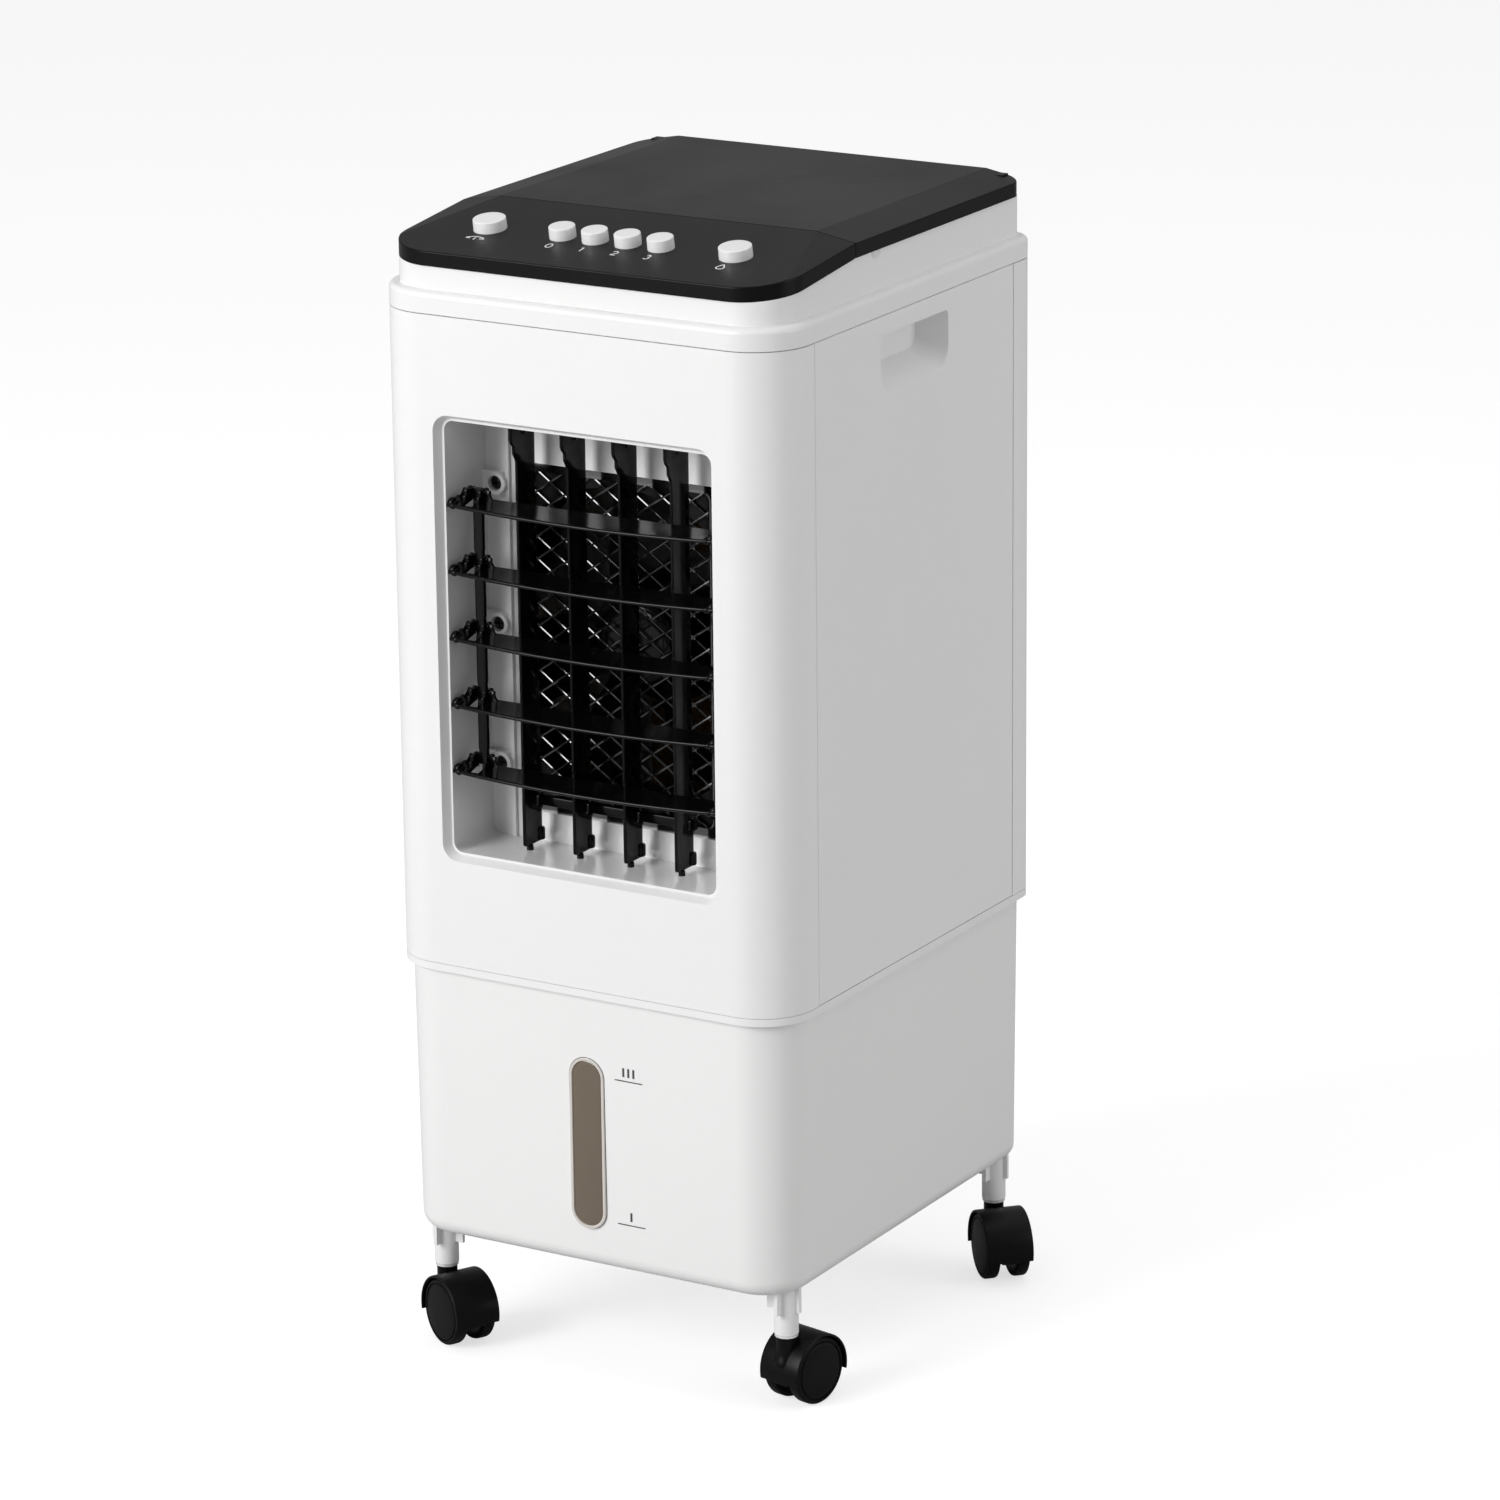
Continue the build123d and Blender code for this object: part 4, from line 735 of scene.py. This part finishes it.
def windowRing(grow, lift):
    # the window's outline, in or out by grow, at a height above its outer face
    box = nodeBox("level_window")
    middle, half = box.mean(axis=0), (box[1] - box[0]) / 2
    radius = half[0] + grow
    straight = half[2] - half[0]
    turn = np.linspace(0, 2 * math.pi, 96, endpoint=False) + math.pi / 96
    return np.stack([middle[0] + radius * np.cos(turn), box[0][1] - lift + 0 * turn,
                     middle[2] + np.sign(np.sin(turn)) * straight + radius * np.sin(turn)], -1)


def windowRim():
    # a flat face with both corners rolled over
    outer = ((0.0, -4.0), (0.0, -0.5), (-0.15, -0.12), (-0.5, 0.0))
    shape = outer + tuple((-windowLook["rim"] - grow, lift) for grow, lift in reversed(outer))
    return [loop(np.stack([windowRing(grow, lift) for grow, lift in shape]))]


def windowPlate():
    # a slightly domed plate inside the rim
    inner = -windowLook["rim"] + 0.05
    box = nodeBox("level_window")
    half = (box[1][0] - box[0][0]) / 2
    grows = [inner, inner, inner - 0.4, inner - 2.0, inner - 5.0, -half + 0.4]
    lifts = [-4.0, -0.95, -0.7, -0.6, -0.55, -0.5]
    return [skin(np.stack([windowRing(grow, lift) for grow, lift in zip(grows, lifts)]))]


def windowGapShade():
    # painted shade: a thin dark line round the rim where the gap's shadow falls, lying just on the tank's
    # leaning front
    tank = nodeBox("water_tank")
    rings = []
    for grow, lift in ((-0.1, -1.0), (-0.1, 0.04), (0.3, 0.04), (0.3, -1.0)):
        ring = windowRing(grow, 0.0)
        lean = (tank[1][2] - ring[:, 2]) * math.tan(math.radians(tankMarks["draft"]))
        ring[:, 1] = tank[0][1] + lean - lift
        rings.append(ring)
    return [loop(np.stack(rings))]


# painted shadow in the gap round the window, in the dark ink finish
makePiece("windowGapShade", windowGapShade(), "inkDarkAndShade", "casing")
makePiece("windowRim", windowRim(), "windowTrim", "casing")
makePiece("windowPlate", windowPlate(), "smokedClear", "casing", ["level_window"])

wheelLook = {"radius": 18.0, "inner": 4.8, "outer": 12.4, "cap": 15.4, "bore": 2.55}


def wheelBody(corner, side):
    # a crowned tread with rolled shoulders, a groove and a domed cap, turned about the axle
    look = wheelLook
    joint = joints[f"roll_{corner}_{side}"]
    middle = np.asarray(joint["pos_m"], float) / mm
    box = nodeBox(f"caster_{corner}_wheel_{side}")
    axis = np.asarray(joint["axis"], float)
    if np.dot(box.mean(axis=0) - middle, axis) < 0:
        axis = -axis
    r, inner, outer, cap = look["radius"], look["inner"], look["outer"], look["cap"]
    shoulder = np.linspace(0, math.pi / 2, 7)
    profile = [(inner + 0.6, r - 6.0), (inner + 0.4, r - 5.0), (inner, r - 4.0), (inner, r - 1.2),
               (inner + 0.35, r - 0.35), (inner + 1.2, r - 0.04), ((inner + outer) / 2, r),
               (outer - 2.2, r - 0.04)]
    profile += [(outer - 2.2 + 1.6 * math.sin(t), r - 1.64 + 1.6 * math.cos(t)) for t in shoulder[1:]]
    profile += [(outer - 0.75, cap + 0.4), (outer - 1.3, cap + 0.15), (outer - 1.3, cap - 0.15),
                (outer - 0.75, cap - 0.4)]
    dome = np.linspace(1, 0.08, 12)
    profile += [(outer - 0.02 - 0.6 * d ** 3, (cap - 0.6) * d) for d in dome]
    hollow = [(inner + 0.6, look["bore"] + 0.6), (inner + 0.4, look["bore"] + 1.2)]
    return [lathe(hollow + profile, middle, axis, 72)]


hoodLook = {"radius": 19.8, "wall": 1.3, "half": 12.9, "drop": 4.0, "web": 4.5, "webDrop": 5.2, "neck": 5.4,
            "top": 38.6, "bore": 3.05, "flare": 1.5}


def hoodBody(corner):
    # a half drum round the wheels, a web between them and a neck that flares into the drum
    look = hoodLook
    swivel, axle = jointPlace("swivel_" + corner), jointPlace(f"roll_{corner}_1")
    ahead = (axle - swivel) * (1, 1, 0)
    trail = np.linalg.norm(ahead)
    ahead /= trail
    side, up = np.array([-ahead[1], ahead[0], 0.0]), np.array([0.0, 0.0, 1.0])
    droop = math.asin(look["drop"] / look["radius"])
    turn = np.linspace(-droop, math.pi + droop, 90)
    section = stadium(look["wall"] / 2, -look["half"], look["half"], 7)
    reach = look["radius"] - look["wall"] / 2 + section[:, 0]
    spoke = np.cos(turn)[:, None, None] * ahead + np.sin(turn)[:, None, None] * up
    shell = axle + reach[None, :, None] * spoke + section[None, :, 1:] * side
    droop = math.asin(look["webDrop"] / (look["radius"] - 0.8))
    turn = np.linspace(-droop, math.pi + droop, 60)
    flat = (look["radius"] - 0.8) * np.stack([np.cos(turn), np.sin(turn)], -1)
    plate, edge = flat[:, :1] * ahead + flat[:, 1:] * up, look["web"]
    web = np.stack([axle + shrink * plate + place * side for place, shrink in
                    ((-edge, 0.98), (0.4 - edge, 1.0), (edge - 0.4, 1.0), (edge, 0.98))])
    height = np.concatenate([np.linspace(22.0, look["top"] - 0.4, 34), [look["top"]]])
    radius = look["neck"] + look["flare"] * np.exp(-((height - 24.0) / 4.0) ** 2)
    radius[-1] -= 0.3
    circle = np.linspace(0, 2 * math.pi, 48, endpoint=False)
    along = radius[:, None] * np.cos(circle)
    across = radius[:, None] * np.sin(circle)
    inside = np.hypot(along - trail, height[:, None] - axle[2]) < look["radius"] - 0.9
    across = np.where(inside, np.clip(across, -look["web"] + 0.1, look["web"] - 0.1), across)
    bore = np.array([look["top"], look["top"] - 14.3, look["top"] - 14.3])
    along = np.vstack([along, np.array([[look["bore"]], [look["bore"]], [0.2]]) * np.cos(circle)])
    across = np.vstack([across, np.array([[look["bore"]], [look["bore"]], [0.2]]) * np.sin(circle)])
    level = np.concatenate([height, bore])[:, None, None] * up
    neck = swivel * (1, 1, 0) + along[..., None] * ahead + across[..., None] * side + level
    return [skin(shell), skin(web), skin(neck)]


for corner in ("fl", "fr", "rl", "rr"):
    makePiece("hood." + corner, hoodBody(corner), "matteBlack", "swivel_" + corner, [f"caster_{corner}_hood"],
              32.0)
    for side in (1, 2):
        makePiece(f"wheel.{corner}.{side}", wheelBody(corner, side), "treadBlack", f"wheel_{corner}_{side}",
                  [f"caster_{corner}_wheel_{side}"], 30.0)
print("keys, marks, window and wheels made")

padLook = {"wave": 7.0, "depth": 1.3, "columns": 150, "rows": 220}


def coolingPad():
    # both faces are h = depth * sin(2 pi (z +- 0.6 x) / wave), the two slants meeting as a lattice of flutes
    box = nodeBox("cooling_pad")
    x = np.linspace(box[0][0], box[1][0], padLook["columns"])
    z = np.linspace(box[0][2], box[1][2], padLook["rows"])
    gx, gz = np.meshgrid(x, z)
    one = np.sin(2 * math.pi * (gz + 0.6 * gx) / padLook["wave"])
    two = np.sin(2 * math.pi * (gz - 0.6 * gx) / padLook["wave"])
    dent = padLook["depth"] * (1 - np.maximum(one, two)) / 2
    edge = np.minimum.reduce([gx - x[0], x[-1] - gx, gz - z[0], z[-1] - gz])
    dent = dent * np.clip(edge / 2.0, 0, 1)
    front = np.stack([gx, box[0][1] + dent, gz], -1)
    back = np.stack([gx, box[1][1] - dent, gz], -1)
    count = front.shape[0] * front.shape[1]
    index = np.arange(count).reshape(front.shape[:2])
    sheet = np.stack([index[:-1, :-1], index[:-1, 1:], index[1:, 1:], index[1:, :-1]], -1).reshape(-1, 4)
    border = np.concatenate([index[0, :-1], index[:-1, -1], index[-1, :0:-1], index[:0:-1, 0]])
    after = np.roll(border, -1)
    faces = sheet.tolist() + (sheet[:, ::-1] + count).tolist()
    faces += np.stack([after, border, border + count, after + count], -1).tolist()
    return [(np.vstack([front.reshape(-1, 3), back.reshape(-1, 3)]), faces)]


makePiece("padBlock", coolingPad(), "padBrown", "casing", ["cooling_pad"], 60.0)

fanLook = {"blades": 7, "chord": 33.0, "root": 44.0, "tip": 24.0, "thick": 1.8, "hub": 24.0, "radius": 79.6}


def fanRotor():
    # each blade is an arched section whose pitch falls from root to tip, swept along its radius
    look = fanLook
    axle = jointPlace("fan_spin")
    span = np.linspace(look["hub"] - 3, look["radius"], 26)
    part = (span - span[0]) / (span[-1] - span[0])
    pitch = np.radians(look["root"] + (look["tip"] - look["root"]) * part)
    chord = look["chord"] * (0.8 + 0.35 * np.sin(math.pi * (part * 0.8 + 0.1)))
    chord = chord * np.where(part > 0.9, np.sqrt(np.clip(1 - ((part - 0.9) / 0.1) ** 2 * 0.5, 0, 1)), 1)
    turn = np.linspace(0, 2 * math.pi, 28, endpoint=False)
    along = np.cos(turn) / 2
    across = look["thick"] / 2 * np.sin(turn) + 2.4 * (1 - 4 * along ** 2)
    cx = chord[:, None] * along * np.cos(pitch)[:, None] - across * np.sin(pitch)[:, None]
    cy = chord[:, None] * along * np.sin(pitch)[:, None] + across * np.cos(pitch)[:, None]
    parts = []
    for number in range(look["blades"]):
        lean = 2 * math.pi * number / look["blades"]
        swirl = cx / span[:, None] + lean
        rings = np.stack([span[:, None] * np.sin(swirl), cy, span[:, None] * np.cos(swirl)], -1)
        parts.append(skin(axle + rings))
    hub = look["hub"]
    profile = [(-12.0, 0.6), (-12.0, hub - 9), (-11.6, hub - 6), (-10.6, hub - 3), (-8.6, hub - 1), (-6, hub),
               (10, hub), (10, hub - 2), (9, hub - 2.6), (9, 4.0)]
    parts.append(lathe(profile, axle, (0, 1, 0), 72))
    return parts


makePiece("fanRotor", fanRotor(), "glossBlack", "fan", ["fan_impeller"])


def screwHead(middle, normal, radius, rise, depth):
    # a pan head with a cross recess: the profile's height drops where the angle is near a quarter turn
    u, v, w = basis(normal)
    turn = np.linspace(0, 2 * math.pi, 96, endpoint=False)
    reach = np.linspace(1, 0.04, 22)
    height = rise * (1 - 0.45 * reach ** 4)
    gx, gy = reach[:, None] * np.cos(turn) * radius, reach[:, None] * np.sin(turn) * radius
    arm = np.clip(1.4 - np.minimum(np.abs(gx), np.abs(gy)) / (0.09 * radius), 0, 1)
    lift = height[:, None] - depth * arm * np.clip(6 - 8.5 * reach[:, None], 0, 1)
    rings = np.asarray(middle) + gx[..., None] * u + gy[..., None] * v + lift[..., None] * w
    wall = rings[0] - (rise * 0.55) * w
    return skin(np.concatenate([wall[None], rings]))


screwLook = {"duct": {"edge": 3.6, "radius": 3.55, "rise": 2.1, "depth": 1.2, "rows": 3},
             "rear": {"edge": 3.2, "radius": 3.15, "rise": 1.6, "depth": 0.9, "rows": 2}}


def screwHeads(which, face, normal):
    # two columns of heads, spaced evenly from the lowest screw to the highest
    look, box = screwLook[which], nodeBox(which + "_screws")
    low, high = box[0] + look["edge"], box[1] - look["edge"]
    return [screwHead((x, face, z), normal, look["radius"], look["rise"], look["depth"])
            for x in (low[0], high[0]) for z in np.linspace(low[2], high[2], look["rows"])]


ductFace = nodeBox("duct_screws")[0][1] + 2.2
rearFace = nodeBox("rear_screws")[1][1] - 1.6
ductHeads, rearHeads = screwHeads("duct", ductFace, (0, -1, 0)), screwHeads("rear", rearFace, (0, 1, 0))
makePiece("ductScrews", ductHeads, "screwBlack", "casing", ["duct_screws"], 50.0)
makePiece("rearScrews", rearHeads, "screwBlack", "casing", ["rear_screws"], 50.0)
print("pad, fan and screws made")


studio = {"floorSize": 40.0, "floorTone": 0.5, "floorLift": 0.66, "horizon": 0.22, "zenith": 0.6,
          "keyPower": 80.0, "topPower": 10.0, "fillPower": 15.0}


def makeFloor():
    size = studio["floorSize"] / 2
    mesh = bpy.data.meshes.new("floor")
    corners = [(-size, -size, 0), (size, -size, 0), (size, size, 0), (-size, size, 0)]
    mesh.from_pydata(corners, [], [(0, 1, 2, 3)])
    floor = bpy.data.objects.new("floor", mesh)
    bpy.context.collection.objects.link(floor)
    # the paper bounces less light than it shows to the camera
    paper = bpy.data.materials.new("paperSweep")
    paper.use_nodes = True
    tree = paper.node_tree
    shader = tree.nodes["Principled BSDF"]
    shader.inputs["Base Color"].default_value = grey(studio["floorTone"])
    shader.inputs["Roughness"].default_value = 0.9
    shader.inputs["Specular IOR Level"].default_value = 0.0
    shader.inputs["Emission Color"].default_value = (1, 1, 1, 1)
    seen = addNode(tree, "ShaderNodeLightPath", (-600, 0)).outputs["Is Camera Ray"]
    lift = mathNode(tree, "MULTIPLY", (-300, 0), seen, studio["floorLift"])
    feed(tree, shader.inputs["Emission Strength"], lift)
    mesh.materials.append(paper)


def makeWorld():
    world = bpy.data.worlds.new("studio")
    bpy.context.scene.world = world
    world.use_nodes = True
    tree = world.node_tree
    back = tree.nodes["Background"]
    back.inputs["Color"].default_value = (1, 1, 1, 1)
    # darker at the horizon, brighter overhead; white where the camera looks past the object
    way = addNode(tree, "ShaderNodeTexCoord", (-1100, 0)).outputs["Generated"]
    aim = addNode(tree, "ShaderNodeSeparateXYZ", (-900, 0), Vector=way).outputs["Z"]
    sky = rangeNode(tree, (-600, 0), aim, toMin=studio["horizon"], toMax=studio["zenith"])
    seen = addNode(tree, "ShaderNodeLightPath", (-600, 300)).outputs["Is Camera Ray"]
    strength = addNode(tree, "ShaderNodeMix", (-300, 100), {"data_type": "FLOAT"})
    feed(tree, strength.inputs[0], seen)
    feed(tree, strength.inputs[2], sky)
    strength.inputs[3].default_value = 1.0
    feed(tree, back.inputs["Strength"], strength.outputs[0])


def makeLight(name, place, aim, size, power):
    lamp = bpy.data.lights.new(name, "AREA")
    lamp.shape = "RECTANGLE"
    lamp.size, lamp.size_y = size
    lamp.energy = power
    made = bpy.data.objects.new(name, lamp)
    made.location = place
    made.rotation_euler = (Vector(aim) - Vector(place)).to_track_quat("-Z", "Y").to_euler()
    bpy.context.collection.objects.link(made)


def makeCamera():
    # a long lens, a little above the top, from the front right
    data = bpy.data.cameras.new("camera")
    made = bpy.data.objects.new("camera", data)
    right = Vector((0.85893, 0.51197, -0.01176))
    up = Vector((-0.13883, 0.25489, 0.95695))
    turn = Matrix((right, up, right.cross(up))).transposed().to_4x4()
    made.matrix_world = Matrix.Translation((1.6373, -2.7248, 1.2633)) @ turn
    data.sensor_width = 36.0
    data.lens = 152.46
    data.shift_x = 0.02503
    data.shift_y = 0.01131
    data.clip_end = 60.0
    bpy.context.collection.objects.link(made)
    bpy.context.scene.camera = made


makeFloor()
makeWorld()
makeLight("key", (-1.3, -2.8, 1.5), (0, 0, 0.35), (1.6, 1.8), studio["keyPower"])
makeLight("overhead", (0.2, 0.5, 2.8), (0, 0, 0.3), (2.6, 2.6), studio["topPower"])
makeLight("fill", (2.4, 0.6, 1.0), (0, 0, 0.35), (1.2, 1.6), studio["fillPower"])
makeCamera()
bpy.context.scene.view_settings.view_transform = "Standard"
print("studio set")
